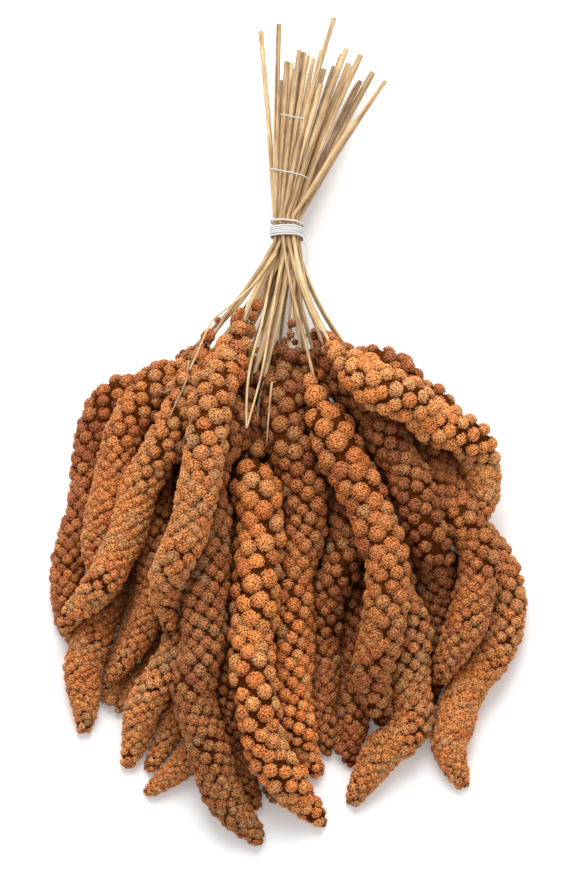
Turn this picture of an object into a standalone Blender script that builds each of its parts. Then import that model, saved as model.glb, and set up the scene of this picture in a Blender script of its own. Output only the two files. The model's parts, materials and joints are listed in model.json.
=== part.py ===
"""A tied bunch of foxtail millet: seed heads on dry stalks, lying on a table.

Run it with: blender --background --python part.py

+Z is up. +Y runs from the seed heads along the stalks to their cut ends. The origin is on
the table, below the middle of the bunch. The shapes are worked out in millimetres from the
tie, with Z = 0 on the table, and MM turns them into metres where a mesh is made.
"""

import math
import random

import bmesh
import bpy
import numpy as np
from mathutils import Matrix, Vector

MM = 0.001
SEED = 7
CURVE_STEPS = 24
SHARP_DEGREES = 60

# Each seed head: its full radius, how high in the pile its stalk end and its tip start
# (0 lies on the table), and its route from the stalk to the tip, seen from above, with the
# tie at (0, 0).
HEADS = [
    (12.4, 3.0, 3.0, [(-18, -103), (-19, -150), (-21, -189), (-21, -223), (-10, -257), (18, -287)]),
    (11.0, 2.5, 2.5, [(-21, -48), (-30, -83), (-37, -115), (-43, -150), (-48, -179), (-54, -199)]),
    (12.0, 3.0, 3.0, [(9, -82), (22, -108), (38, -135), (48, -164), (50, -199), (43, -239)]),
    (11.6, 2.0, 2.0, [(-17, -78), (-29, -116), (-35, -156), (-39, -191), (-41, -230), (-34, -262), (-12, -297)]),
    (11.2, 2.0, 2.0, [(1, -62), (2, -97), (8, -141), (7, -181), (5, -213), (8, -242), (16, -264)]),
    (11.4, 1.0, 2.0, [(26, -62), (51, -91), (74, -123), (83, -155), (82, -185), (70, -221)]),
    (10.8, 2.0, 0.5, [(19, -64), (38, -100), (57, -122), (67, -148), (71, -182), (72, -206), (70, -231)]),
    (11.6, 2.0, 1.5, [(25, -70), (41, -89), (57, -99), (72, -104), (82, -112), (87, -128), (85, -146)]),
    (11.2, 0.0, 0.0, [(36, -80), (67, -115), (87, -146), (94, -171), (88, -198), (76, -225), (75, -247), (85, -269)]),
    (11.2, 1.0, 1.0, [(14, -64), (46, -122), (61, -162), (64, -199), (57, -229), (42, -252), (31, -278)]),
    (10.4, 1.0, 1.0, [(9, -66), (20, -108), (25, -145), (23, -177), (19, -209), (17, -255)]),
    (9.8, 0.0, 0.0, [(10, -70), (23, -122), (30, -165), (34, -205), (33, -235), (31, -260)]),
    (9.2, 0.0, 0.0, [(-4, -58), (-8, -104), (-11, -149), (-11, -193), (-10, -233), (-7, -277)]),
    (10.4, 1.5, 1.0, [(-24, -72), (-34, -112), (-40, -151), (-46, -185), (-56, -217), (-66, -238), (-78, -260)]),
    (9.2, 0.0, 0.5, [(-16, -70), (-24, -114), (-29, -159), (-37, -199), (-48, -229), (-67, -262)]),
    (9.0, 0.0, 0.5, [(-10, -66), (-15, -118), (-18, -164), (-24, -204), (-35, -236), (-51, -257), (-68, -273)]),
    (10.2, 2.0, 2.0, [(-38, -60), (-52, -98), (-65, -125), (-78, -148), (-88, -171), (-101, -198)]),
    (10.0, 2.0, 1.5, [(-44, -61), (-62, -78), (-78, -98), (-84, -123), (-87, -147), (-87, -176)]),
    (10.0, 0.5, 0.5, [(-58, -68), (-69, -76), (-77, -91), (-84, -114), (-92, -141), (-99, -168), (-100, -200)]),
    (10.8, 0.5, 0.0, [(-45, -78), (-55, -108), (-64, -133), (-74, -159), (-86, -186), (-93, -208), (-98, -243)]),
    (8.8, 1.0, 0.8, [(-32, -66), (-46, -106), (-56, -142), (-62, -172), (-71, -197), (-85, -218)]),
    (8.8, 0.0, 0.0, [(-24, -72), (-37, -116), (-48, -159), (-59, -191), (-71, -212), (-82, -233)]),
    (8.8, 0.0, 0.0, [(-32, -76), (-47, -114), (-58, -149), (-68, -178), (-79, -203), (-89, -228)]),
    (9.2, 0.0, 0.0, [(20, -70), (42, -118), (53, -158), (54, -194), (50, -228)]),
    (8.8, 1.0, 1.0, [(-14, -92), (-24, -124), (-28, -160), (-30, -196), (-29, -230), (-24, -256), (-15, -281)]),
    (8.8, 0.0, 0.0, [(28, -74), (58, -112), (74, -146), (79, -180), (73, -212)]),
]

# The cut ends, seen from above. The first is the long one that crosses over the others.
CUT_ENDS = [
    (23, 106), (-13, 104), (-4, 104), (-3, 80), (0, 86), (2, 90), (4, 84), (6, 91), (8, 94),
    (10, 90), (11, 78), (13, 90), (16, 73), (17, 95), (18, 83), (23, 88), (25, 80), (27, 92),
    (29, 92), (30, 89), (32, 84), (33, 54), (36, 78), (36, 88), (42, 84), (48, 76),
]

# How the heads come to rest: each starts at its place in the pile, then drops a little at a
# time, held near its route, kept smooth, and pushed off its neighbours. The last steps only push.
SPINE_POINTS = 36
PILE_STEP = 20.0
SETTLE_STEPS = 700
PART_STEPS = 200
DROP = 0.16
HOLD = 0.05
STIFF = (0.1, 0.1, 0.5)
PUSH = 0.9
SIDEWAYS = 0.8
NEIGHBOURS_EVERY = 20
NEIGHBOUR_REACH = 6.0
NECK_POINTS = 5
NECK_HOLD = 0.4
HEAD_GAP = 0.6

# The surface of a head. FLAT is how deep the lobes that carry the bunch are pressed flat.
ROW_STEP = 7.4
SIDES = 9
RELIEF = 0.22
UNEVEN = 0.05
SWAY = 0.14
END_MARGIN = 0.4
NECK = 26.0
NECK_SHARE = 0.38
BODY_THINS_FROM = 0.3
TIP_SHARE = 0.86
TIP_LENGTH = 34.0
TIP_DEPTH = 0.92
TIP_BEND = 1.35
FLAT = 1.0

# The stalks, which pass through the tie in rows. They thicken over one stretch above the tie
# and thin over one below it: how far from the tie each starts, and how long it is.
SLOT_ROWS = [3, 5, 5, 5, 5, 3]
SLOT_STAGGER = 0.25
ROW_LEAN = 0.15
STALK_RADIUS = 1.1
CUT_RADIUS = 1.45
NECK_THINNER = 0.2
THICKENS = (10.0, 60.0)
THINS = (20.0, 40.0)
STALK_GAP = 0.35
STALK_SIDES = 6
STALK_CLEAR = 0.2
HEAD_JOIN_GAP = 0.35
TIE_HEIGHT = 22.0
FAN = 2.3
FAN_BEND = 1.3
FAN_UNEVEN = 2.0
SLICE = 4.0
STRAIGHT_SLICES = 3
STALK_STEPS = 360
STALK_PART_STEPS = 60
STALK_STIFF = 0.4
STALK_HOLD = 0.03
STALK_PUSH = 0.5
HEAD_PUSH = 0.6
STEEPEST = 1.4
BEND_SHARE = 0.6
MOST_LEAN = 2.0
HEADS_REACH = 15.0
PAST_END = 1.2
SHORTEST_STEP = 2.4
STALK_TOLERANCE = 0.22

# The tie: a band of thread turns, and one loose turn beside it.
TURNS = 5
TURN_WIDTH = 1.1
BAND_GROOVE = 0.62
BAND_RIDGE = 1.0
TIE_OUTLINE = 20
THREAD_RADIUS = 0.45
THREAD_CLEAR = 0.35
THREAD_PLACE = 5.2
THREAD_TILT = 0.1
THREAD_SIDES = 5


def smooth_step(x):
    x = np.clip(x, 0, 1)
    return x * x * (3 - 2 * x)


def length_of(points):
    return float(np.linalg.norm(np.diff(points, axis=0), axis=1).sum())


def spaced_along(points, count):
    """Evenly spaced points on a smooth curve through the given ones."""
    points = np.array(points, float)
    padded = np.vstack([2 * points[0] - points[1], points, 2 * points[-1] - points[-2]])
    t = np.linspace(0, 1, CURVE_STEPS, endpoint=False)[:, None]
    pieces = []
    for a, b, c, d in zip(padded, padded[1:], padded[2:], padded[3:]):
        bend = (2 * a - 5 * b + 4 * c - d) * t**2 + (3 * b - a - 3 * c + d) * t**3
        pieces.append(b + 0.5 * ((c - a) * t + bend))
    curve = np.vstack(pieces + [points[-1:]])
    gone = np.concatenate([[0], np.cumsum(np.linalg.norm(np.diff(curve, axis=0), axis=1))])
    places = np.linspace(0, gone[-1], count)
    return np.stack([np.interp(places, gone, curve[:, k]) for k in range(points.shape[1])], axis=1)


def frames_along(points):
    """Two cross directions at each point of a line, which follow it without twisting."""
    tangents = np.gradient(points, axis=0)
    tangents /= np.linalg.norm(tangents, axis=1)[:, None]
    side = np.cross(tangents[0], (0.0, 0.0, 1.0))
    sides = []
    for tangent in tangents:
        side = side - tangent * side.dot(tangent)
        side /= np.linalg.norm(side)
        sides.append(side)
    sides = np.array(sides)
    return sides, np.cross(tangents, sides)


def body_radius(full, place, length):
    """The radius of a head's long body, which thins towards the tip."""
    thinned = np.clip((place / length - BODY_THINS_FROM) / (1 - BODY_THINS_FROM), 0, 1)
    return full * (1 - (1 - TIP_SHARE) * thinned)


def head_radius(full, place, length):
    """A head's outer radius at a distance from its stalk, with its narrow neck and its tapered tip."""
    neck = NECK_SHARE + (1 - NECK_SHARE) * smooth_step(place / NECK)
    into_tip = np.clip((place - (length - TIP_LENGTH)) / TIP_LENGTH, 0, 1)
    return body_radius(full, place, length) * neck * np.sqrt(1 - TIP_DEPTH * into_tip**TIP_BEND)


def close_pairs(points, radii, owners):
    """The pairs of points of different heads that could touch soon."""
    apart = np.linalg.norm(points[:, None] - points[None], axis=2)
    near = apart < radii[:, None] + radii[None] + NEIGHBOUR_REACH
    near &= owners[:, None] < owners[None]
    return np.nonzero(near)


def push_apart(points, radii, pairs):
    """Moves overlapping points of two heads off each other."""
    first, second = pairs
    apart = points[first] - points[second]
    distance = np.sqrt((apart**2).sum(axis=1)) + 1e-9
    overlap = radii[first] + radii[second] + HEAD_GAP - distance
    hit = overlap > 0
    first, second = first[hit], second[hit]
    push = apart[hit] * (overlap[hit] / distance[hit])[:, None] * (SIDEWAYS, SIDEWAYS, 1.0)
    count = len(points)
    touching = np.bincount(first, minlength=count) + np.bincount(second, minlength=count)
    for k in range(3):
        total = np.bincount(first, push[:, k], count) - np.bincount(second, push[:, k], count)
        points[:, k] += PUSH * total / np.maximum(touching, 1)


def hold_necks(spines):
    """A stiff stalk carries each neck: its height is drawn to the line from the tie to the body."""
    far = np.linalg.norm(spines[:, :NECK_POINTS + 1, :2], axis=2)
    share = far[:, :-1] / far[:, -1:]
    line = TIE_HEIGHT + (spines[:, NECK_POINTS, 2:3] - TIE_HEIGHT) * share
    spines[:, :NECK_POINTS, 2] += NECK_HOLD * (line - spines[:, :NECK_POINTS, 2])


def settled_spines():
    """Lets the heads come to rest on the table and on each other. Returns (spines, radii), one row a head."""
    plan = np.array([spaced_along(route, SPINE_POINTS) for _, _, _, route in HEADS])
    places = [np.linspace(0, length_of(flat), SPINE_POINTS) for flat in plan]
    radii = np.array([head_radius(head[0], at, at[-1]) for head, at in zip(HEADS, places)])
    along = np.linspace(0, 1, SPINE_POINTS)
    height = np.array([full + PILE_STEP * (start + (end - start) * along) for full, start, end, _ in HEADS])
    spines = np.concatenate([plan, height[..., None]], axis=2)
    owners = np.repeat(np.arange(len(HEADS)), SPINE_POINTS)
    for step in range(SETTLE_STEPS + PART_STEPS):
        if step < SETTLE_STEPS:
            spines[..., 2] -= DROP
            spines[..., :2] += HOLD * (plan - spines[..., :2])
            middle = (spines[:, :-2] + spines[:, 2:]) / 2
            spines[:, 1:-1] += (middle - spines[:, 1:-1]) * STIFF
            hold_necks(spines)
        points = spines.reshape(-1, 3)
        if step % NEIGHBOURS_EVERY == 0:
            pairs = close_pairs(points, radii.reshape(-1), owners)
        push_apart(points, radii.reshape(-1), pairs)
        spines = points.reshape(spines.shape)
        spines[..., 2] = np.maximum(spines[..., 2], radii - FLAT)
    return spines, radii


def slots():
    """Where the stalks pass the tie: rows of round stalks laid close together. (x, z) from its middle."""
    pitch = 2 * STALK_RADIUS + STALK_GAP
    rise = pitch * math.sqrt(3) / 2
    places = []
    for row, count in enumerate(SLOT_ROWS):
        stagger = SLOT_STAGGER if row % 2 else -SLOT_STAGGER
        for k in range(count):
            x = (k - (count - 1) / 2 + stagger) * pitch
            places.append((x, (row - (len(SLOT_ROWS) - 1) / 2) * rise))
    return np.array(places)


def slot_of_each_head(spines):
    """The lowest heads take the lowest row of slots, and so on, each row in order from left to right."""
    order = sorted(range(len(HEADS)), key=lambda h: spines[h, NECK_POINTS, 2])
    chosen = np.zeros(len(HEADS), int)
    first = 0
    for count in SLOT_ROWS:
        row = sorted(order[first:first + count], key=lambda h: spines[h, 0, 0] / abs(spines[h, 0, 1]))
        for k, head in enumerate(row):
            chosen[head] = first + k
        first += count
    return chosen


def cut_end_of_each_slot(places):
    """Gives the cut ends out from left to right. The crossing stalk starts at the left of the top row."""
    crossing = len(places) - SLOT_ROWS[-1]
    others = [k for k in range(len(places)) if k != crossing]
    others.sort(key=lambda k: places[k][0] + ROW_LEAN * places[k][1])
    ends = {crossing: CUT_ENDS[0]}
    for k, end in zip(others, sorted(CUT_ENDS[1:])):
        ends[k] = end
    return [ends[k] for k in range(len(places))]


def stalk_radius(y):
    """Thinner towards the head, and thicker towards the cut end."""
    thicker = smooth_step((y - THICKENS[0]) / THICKENS[1]) * (CUT_RADIUS - STALK_RADIUS)
    thinner = smooth_step((-y - THINS[0]) / THINS[1]) * NECK_THINNER
    return STALK_RADIUS + thicker - thinner


def push_off_heads(paths, active, ys, radii, heads):
    """Moves the stalks' points out of every head but their own."""
    spheres, sphere_radii, owners = heads
    own = np.arange(len(paths))[:, None, None] == owners[None, None]
    along = np.broadcast_to(ys, paths.shape[:2])
    points = np.stack([paths[..., 0], along, paths[..., 1]], axis=2)
    apart = points[:, :, None] - spheres[None, None]
    distance = np.sqrt((apart**2).sum(axis=3)) + 1e-9
    overlap = sphere_radii[None, None] + radii[None, :, None] + STALK_GAP - distance
    overlap = np.where(active[..., None] & ~own, np.maximum(overlap, 0), 0)
    across = np.sqrt(apart[..., 0]**2 + apart[..., 2]**2) + 1e-9
    push = (apart[..., ::2] * (overlap / across)[..., None]).sum(axis=2)
    paths += HEAD_PUSH * push / np.maximum((overlap > 0).sum(axis=2), 1)[..., None]


def relax(paths, active, pinned, ys, heads):
    """Moves the stalks apart in each slice across them, off the heads and the table, and keeps them smooth."""
    goal = paths.copy()
    radii = stalk_radius(ys)
    other = ~np.eye(len(paths), dtype=bool)[..., None] & active[:, None] & active[None]
    for step in range(STALK_STEPS + STALK_PART_STEPS):
        if step < STALK_STEPS:
            middle = (paths[:, :-2] + paths[:, 2:]) / 2
            loose = (active[:, 1:-1] & active[:, 2:])[..., None]
            paths[:, 1:-1] += np.where(loose, STALK_STIFF * (middle - paths[:, 1:-1]), 0)
            paths += STALK_HOLD * (goal - paths)
        slope = np.gradient(paths, ys, axis=1)
        lean = np.sqrt(1 + (slope**2).sum(axis=2))
        apart = paths[:, None] - paths[None]
        distance = np.sqrt((apart**2).sum(axis=3)) + 1e-9
        reach = (2 * radii + STALK_GAP) * np.minimum((lean[:, None] + lean[None]) / 2, MOST_LEAN)
        overlap = np.where(other, np.maximum(reach - distance, 0), 0)
        push = (apart * (overlap / distance)[..., None]).sum(axis=1)
        paths += push * STALK_PUSH / np.maximum((overlap > 0).sum(axis=1), 1)[..., None]
        if heads is not None:
            push_off_heads(paths, active, ys, radii, heads)
        paths[..., 1] = np.maximum(paths[..., 1], radii + STALK_CLEAR)
        paths[pinned] = goal[pinned]


def lower_paths(spines, radii, places, chosen):
    """The stalks from the tie to the heads: their (x, z) in each slice. Returns (slices, paths, active)."""
    count = len(spines)
    ys = -np.arange(0, SLICE - spines[:, 0, 1].min(), SLICE)
    paths = np.zeros((count, len(ys), 2))
    active = np.zeros((count, len(ys)), bool)
    pinned = np.zeros((count, len(ys)), bool)
    for h in range(count):
        start = places[chosen[h]] + (0, TIE_HEIGHT)
        end = spines[h, 0, ::2]
        far = -spines[h, 0, 1]
        heading = spines[h, 2] - spines[h, 0]
        slope = np.clip(heading[::2] / abs(heading[1]), -STEEPEST, STEEPEST) * far * BEND_SHARE
        t = np.clip(-ys / far, 0, 1)[:, None]
        paths[h] = start * (1 + 2 * t) * (1 - t)**2 + end * t**2 * (3 - 2 * t) + slope * t**2 * (t - 1)
        last = int(far // SLICE)
        active[h, :last + 1] = True
        pinned[h, :2] = True
        pinned[h, last:] = True
        paths[h, :2] = start
    points = spines.reshape(-1, 3)
    owners = np.repeat(np.arange(count), SPINE_POINTS)
    close = points[:, 1] > ys[-1] - HEADS_REACH
    relax(paths, active, pinned, ys, (points[close], radii.reshape(-1)[close], owners[close]))
    return ys, paths, active


def upper_paths(places, ends):
    """The stalks from the tie to the cut ends: their (x, z) in each slice. Returns (slices, paths)."""
    rng = random.Random(SEED)
    count = len(places)
    ys = np.arange(0, max(y for _, y in ends) + SLICE, SLICE)
    paths = np.zeros((count, len(ys), 2))
    active = np.zeros((count, len(ys)), bool)
    pinned = np.zeros((count, len(ys)), bool)
    for k, (x, y) in enumerate(ends):
        start = places[k] + (0, TIE_HEIGHT)
        end = np.array([x, TIE_HEIGHT + places[k][1] * FAN + rng.uniform(-FAN_UNEVEN, FAN_UNEVEN)])
        paths[k] = start + (end - start) * np.clip(ys / y, 0, PAST_END)[:, None]**FAN_BEND
        active[k, :int(y // SLICE) + 2] = True
        pinned[k, :STRAIGHT_SLICES] = True
        paths[k, :STRAIGHT_SLICES] = start
    relax(paths, active, pinned, ys, None)
    return ys, paths


def simplified(points, tolerance):
    """Drops the points that a straight line between their neighbours passes within the tolerance."""
    first, last = points[0], points[-1]
    line = (last - first) / np.linalg.norm(last - first)
    off = points - first
    miss = np.linalg.norm(off - np.outer(off @ line, line), axis=1)
    k = int(miss.argmax())
    if miss[k] <= tolerance:
        return np.array([first, last])
    return np.vstack([simplified(points[:k + 1], tolerance)[:-1], simplified(points[k:], tolerance)])


def stalk_lines(spines, radii):
    """Each head's stalk as a line of points, from its cut end to just short of the head."""
    places = slots()
    chosen = slot_of_each_head(spines)
    ends = cut_end_of_each_slot(places)
    low_y, low, low_active = lower_paths(spines, radii, places, chosen)
    high_y, high = upper_paths(places, ends)
    lines = []
    for h, slot in enumerate(chosen):
        cut = ends[slot][1]
        cut_x = np.interp(cut, high_y, high[slot, :, 0])
        cut_z = np.interp(cut, high_y, high[slot, :, 1])
        above = [(high[slot, k, 0], y, high[slot, k, 1]) for k, y in enumerate(high_y) if y < cut - 1]
        below = [(low[h, k, 0], y, low[h, k, 1]) for k, y in enumerate(low_y) if k and low_active[h, k]]
        root = spines[h, 0]
        if np.linalg.norm(np.array(below[-1]) - root) < SHORTEST_STEP:
            below.pop()
        away = np.array(below[-1]) - root
        end = root + away / np.linalg.norm(away) * HEAD_JOIN_GAP
        line = np.array([(cut_x, cut, cut_z)] + above[::-1] + below + [tuple(end)])
        lines.append(simplified(line, STALK_TOLERANCE))
    return lines


def ring_of_faces(bm, rings, closed):
    """Joins rings of vertices side by side, and the last to the first if the shape is a closed ring."""
    count = len(rings[0])
    following = rings[1:] + rings[:1] if closed else rings[1:]
    for low, high in zip(rings, following):
        for k in range(count):
            nxt = (k + 1) % count
            bm.faces.new((low[k], low[nxt], high[nxt], high[k]))


def head_mesh(full, spine, rng):
    """A seed head. A lobe at every third point of a six-way lattice stands out of a slimmer core."""
    length = length_of(spine)
    places = np.linspace(0, length, len(spine))
    sides, ups = frames_along(spine)
    rows = round(length / ROW_STEP)
    step = length / (rows + 1)
    margin = END_MARGIN * step
    bm = bmesh.new()
    lattice = []
    for i in range(rows):
        ring = []
        for j in range(SIDES):
            lobe = (j - i // 2 - i) % 3 == 0
            sway = SWAY if lobe else 0
            place = min(max(step * (i + 1 + rng.uniform(-sway, sway)), margin), length - margin)
            angle = 2 * math.pi * (j + 0.5 * (i % 2) + rng.uniform(-sway, sway)) / SIDES
            depth = rng.uniform(0, UNEVEN) + (0 if lobe else RELIEF)
            radius = head_radius(full, place, length) * (1 - depth)
            centre, side, up = (
                np.array([np.interp(place, places, values[:, k]) for k in range(3)])
                for values in (spine, sides, ups)
            )
            ring.append(bm.verts.new(centre + radius * (math.cos(angle) * side + math.sin(angle) * up)))
        lattice.append(ring)
    for i, (low, high) in enumerate(zip(lattice, lattice[1:])):
        for j in range(SIDES):
            k = (j + 1) % SIDES
            across = high[k] if i % 2 else high[j]
            bm.faces.new((low[j], low[k], across))
            bm.faces.new((low[j], high[k], high[j]) if i % 2 else (low[k], high[k], high[j]))
    for ring, end in ((lattice[0], spine[0]), (lattice[-1], spine[-1])):
        pole = bm.verts.new(end)
        for j in range(SIDES):
            bm.faces.new((ring[j], ring[(j + 1) % SIDES], pole))
    press_flat(bm)
    return bm


def press_flat(bm):
    """Flattens what would reach below the table, as the lobes that carry the bunch are pressed flat."""
    if min(v.co.z for v in bm.verts) >= 0:
        return
    everything = bm.verts[:] + bm.edges[:] + bm.faces[:]
    cut = bmesh.ops.bisect_plane(bm, geom=everything, plane_co=(0, 0, 0), plane_no=(0, 0, -1), clear_outer=True)
    edges = [e for e in cut["geom_cut"] if isinstance(e, bmesh.types.BMEdge)]
    bmesh.ops.holes_fill(bm, edges=edges, sides=0)
    bmesh.ops.triangulate(bm, faces=bm.faces)


def stalk_mesh(line):
    """A dry stalk: a tube along its line with flat cut ends."""
    bm = bmesh.new()
    rings = []
    for point, side, up in zip(line, *frames_along(line)):
        ring = []
        for k in range(STALK_SIDES):
            angle = 2 * math.pi * k / STALK_SIDES
            out = math.cos(angle) * side + math.sin(angle) * up
            ring.append(bm.verts.new(point + stalk_radius(point[1]) * out))
        rings.append(ring)
    ring_of_faces(bm, rings, closed=False)
    bm.faces.new(rings[0])
    bm.faces.new(rings[-1])
    return bm


def tie_outline(out):
    """The line round all the stalks at the tie, so far out from them."""
    places = slots()
    outline = []
    for k in range(TIE_OUTLINE):
        angle = 2 * math.pi * k / TIE_OUTLINE
        way = np.array([math.cos(angle), math.sin(angle)])
        furthest = places[(places @ way).argmax()]
        outline.append(furthest + way * (STALK_RADIUS + out) + (0, TIE_HEIGHT))
    return outline


def band_mesh():
    """The wound band: a ridge for each turn of the thread, and a plain inside that clears the stalks."""
    half = TURNS * TURN_WIDTH / 2
    profile = [(0, -half)]
    for k in range(TURNS):
        profile.append((BAND_GROOVE, k * TURN_WIDTH - half))
        profile.append((BAND_RIDGE, (k + 0.5) * TURN_WIDTH - half))
    profile += [(BAND_GROOVE, half), (0, half)]
    bm = bmesh.new()
    rings = []
    for out, y in profile:
        rings.append([bm.verts.new((x, y, z)) for x, z in tie_outline(THREAD_CLEAR + out)])
    ring_of_faces(bm, rings, closed=True)
    return bm


def thread_mesh():
    """One loose turn of thread beside the band, tilted a little."""
    bm = bmesh.new()
    rings = []
    for k, (x, z) in enumerate(tie_outline(THREAD_CLEAR + THREAD_RADIUS)):
        angle = 2 * math.pi * k / TIE_OUTLINE
        out = Vector((math.cos(angle), 0, math.sin(angle)))
        centre = Vector((x, THREAD_PLACE - THREAD_TILT * x, z))
        ring = []
        for j in range(THREAD_SIDES):
            turn = 2 * math.pi * j / THREAD_SIDES
            offset = math.cos(turn) * out + math.sin(turn) * Vector((0, 1, 0))
            ring.append(bm.verts.new(centre + THREAD_RADIUS * offset))
        rings.append(ring)
    ring_of_faces(bm, rings, closed=True)
    return bm


def principled(name, colour, roughness):
    material = bpy.data.materials.new(name)
    material.use_nodes = True
    shader = material.node_tree.nodes["Principled BSDF"]
    shader.inputs["Base Color"].default_value = (*colour, 1)
    shader.inputs["Roughness"].default_value = roughness
    material.diffuse_color = (*colour, 1)
    return material


def new_object(name, bm, material):
    bmesh.ops.recalc_face_normals(bm, faces=bm.faces)
    mesh = bpy.data.meshes.new(name)
    bm.to_mesh(mesh)
    bm.free()
    mesh.transform(Matrix.Scale(MM, 4))
    mesh.shade_smooth()
    mesh.set_sharp_from_angle(angle=math.radians(SHARP_DEGREES))
    mesh.materials.append(material)
    made = bpy.data.objects.new(name, mesh)
    bpy.context.scene.collection.objects.link(made)
    return made


def centre_on_origin(objects):
    """Moves everything so that the origin is on the table, below the middle of the bunch."""
    corners = np.array([tuple(corner) for made in objects for corner in made.bound_box])
    middle = (corners.min(axis=0) + corners.max(axis=0)) / 2
    for made in objects:
        made.location = (-middle[0], -middle[1], 0)


def main():
    for old in list(bpy.data.objects):
        bpy.data.objects.remove(old)
    rust = principled("millet_rust", (0.42, 0.17, 0.055), 0.75)
    straw = principled("dry_straw", (0.62, 0.43, 0.22), 0.6)
    cotton = principled("white_cotton", (0.86, 0.85, 0.82), 0.8)
    rng = random.Random(SEED)
    spines, radii = settled_spines()
    made = []
    for number, (head, spine) in enumerate(zip(HEADS, spines), 1):
        made.append(new_object(f"seed_head_{number:02d}", head_mesh(head[0], spine, rng), rust))
    for number, line in enumerate(stalk_lines(spines, radii), 1):
        made.append(new_object(f"stalk_{number:02d}", stalk_mesh(line), straw))
    made.append(new_object("tie_band", band_mesh(), cotton))
    made.append(new_object("tie_thread", thread_mesh(), cotton))
    centre_on_origin(made)


main()
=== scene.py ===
"""The looks of a tied bunch of millet: seeds on every lobe of the heads, dry stalks, wound thread.

The shapes are worked out in millimetres from the tie, with Z = 0 on the table, as the solids
are. The tie's box in the frame gives its place, and MM turns millimetres into metres.
"""

import json
import math
import random

import bpy
import numpy as np
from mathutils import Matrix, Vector

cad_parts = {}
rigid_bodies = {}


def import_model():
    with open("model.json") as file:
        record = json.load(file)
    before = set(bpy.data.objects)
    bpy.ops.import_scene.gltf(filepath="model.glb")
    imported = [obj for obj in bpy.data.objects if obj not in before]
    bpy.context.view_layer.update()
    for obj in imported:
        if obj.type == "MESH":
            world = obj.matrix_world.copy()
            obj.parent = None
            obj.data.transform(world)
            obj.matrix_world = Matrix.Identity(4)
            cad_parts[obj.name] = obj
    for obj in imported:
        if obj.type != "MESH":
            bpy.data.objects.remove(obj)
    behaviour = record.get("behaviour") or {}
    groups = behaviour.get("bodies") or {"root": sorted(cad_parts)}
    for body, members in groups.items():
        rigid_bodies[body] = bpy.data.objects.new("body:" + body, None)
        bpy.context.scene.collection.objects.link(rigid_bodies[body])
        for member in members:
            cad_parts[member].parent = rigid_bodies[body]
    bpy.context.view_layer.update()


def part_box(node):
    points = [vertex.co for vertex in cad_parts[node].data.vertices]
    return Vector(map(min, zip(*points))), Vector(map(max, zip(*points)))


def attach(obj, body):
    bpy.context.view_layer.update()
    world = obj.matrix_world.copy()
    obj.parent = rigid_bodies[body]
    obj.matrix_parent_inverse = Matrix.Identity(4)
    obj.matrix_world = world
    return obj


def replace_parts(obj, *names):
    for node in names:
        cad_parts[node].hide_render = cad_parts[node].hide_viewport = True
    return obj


MM = 0.001
SEED = 7
CURVE_STEPS = 24

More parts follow.
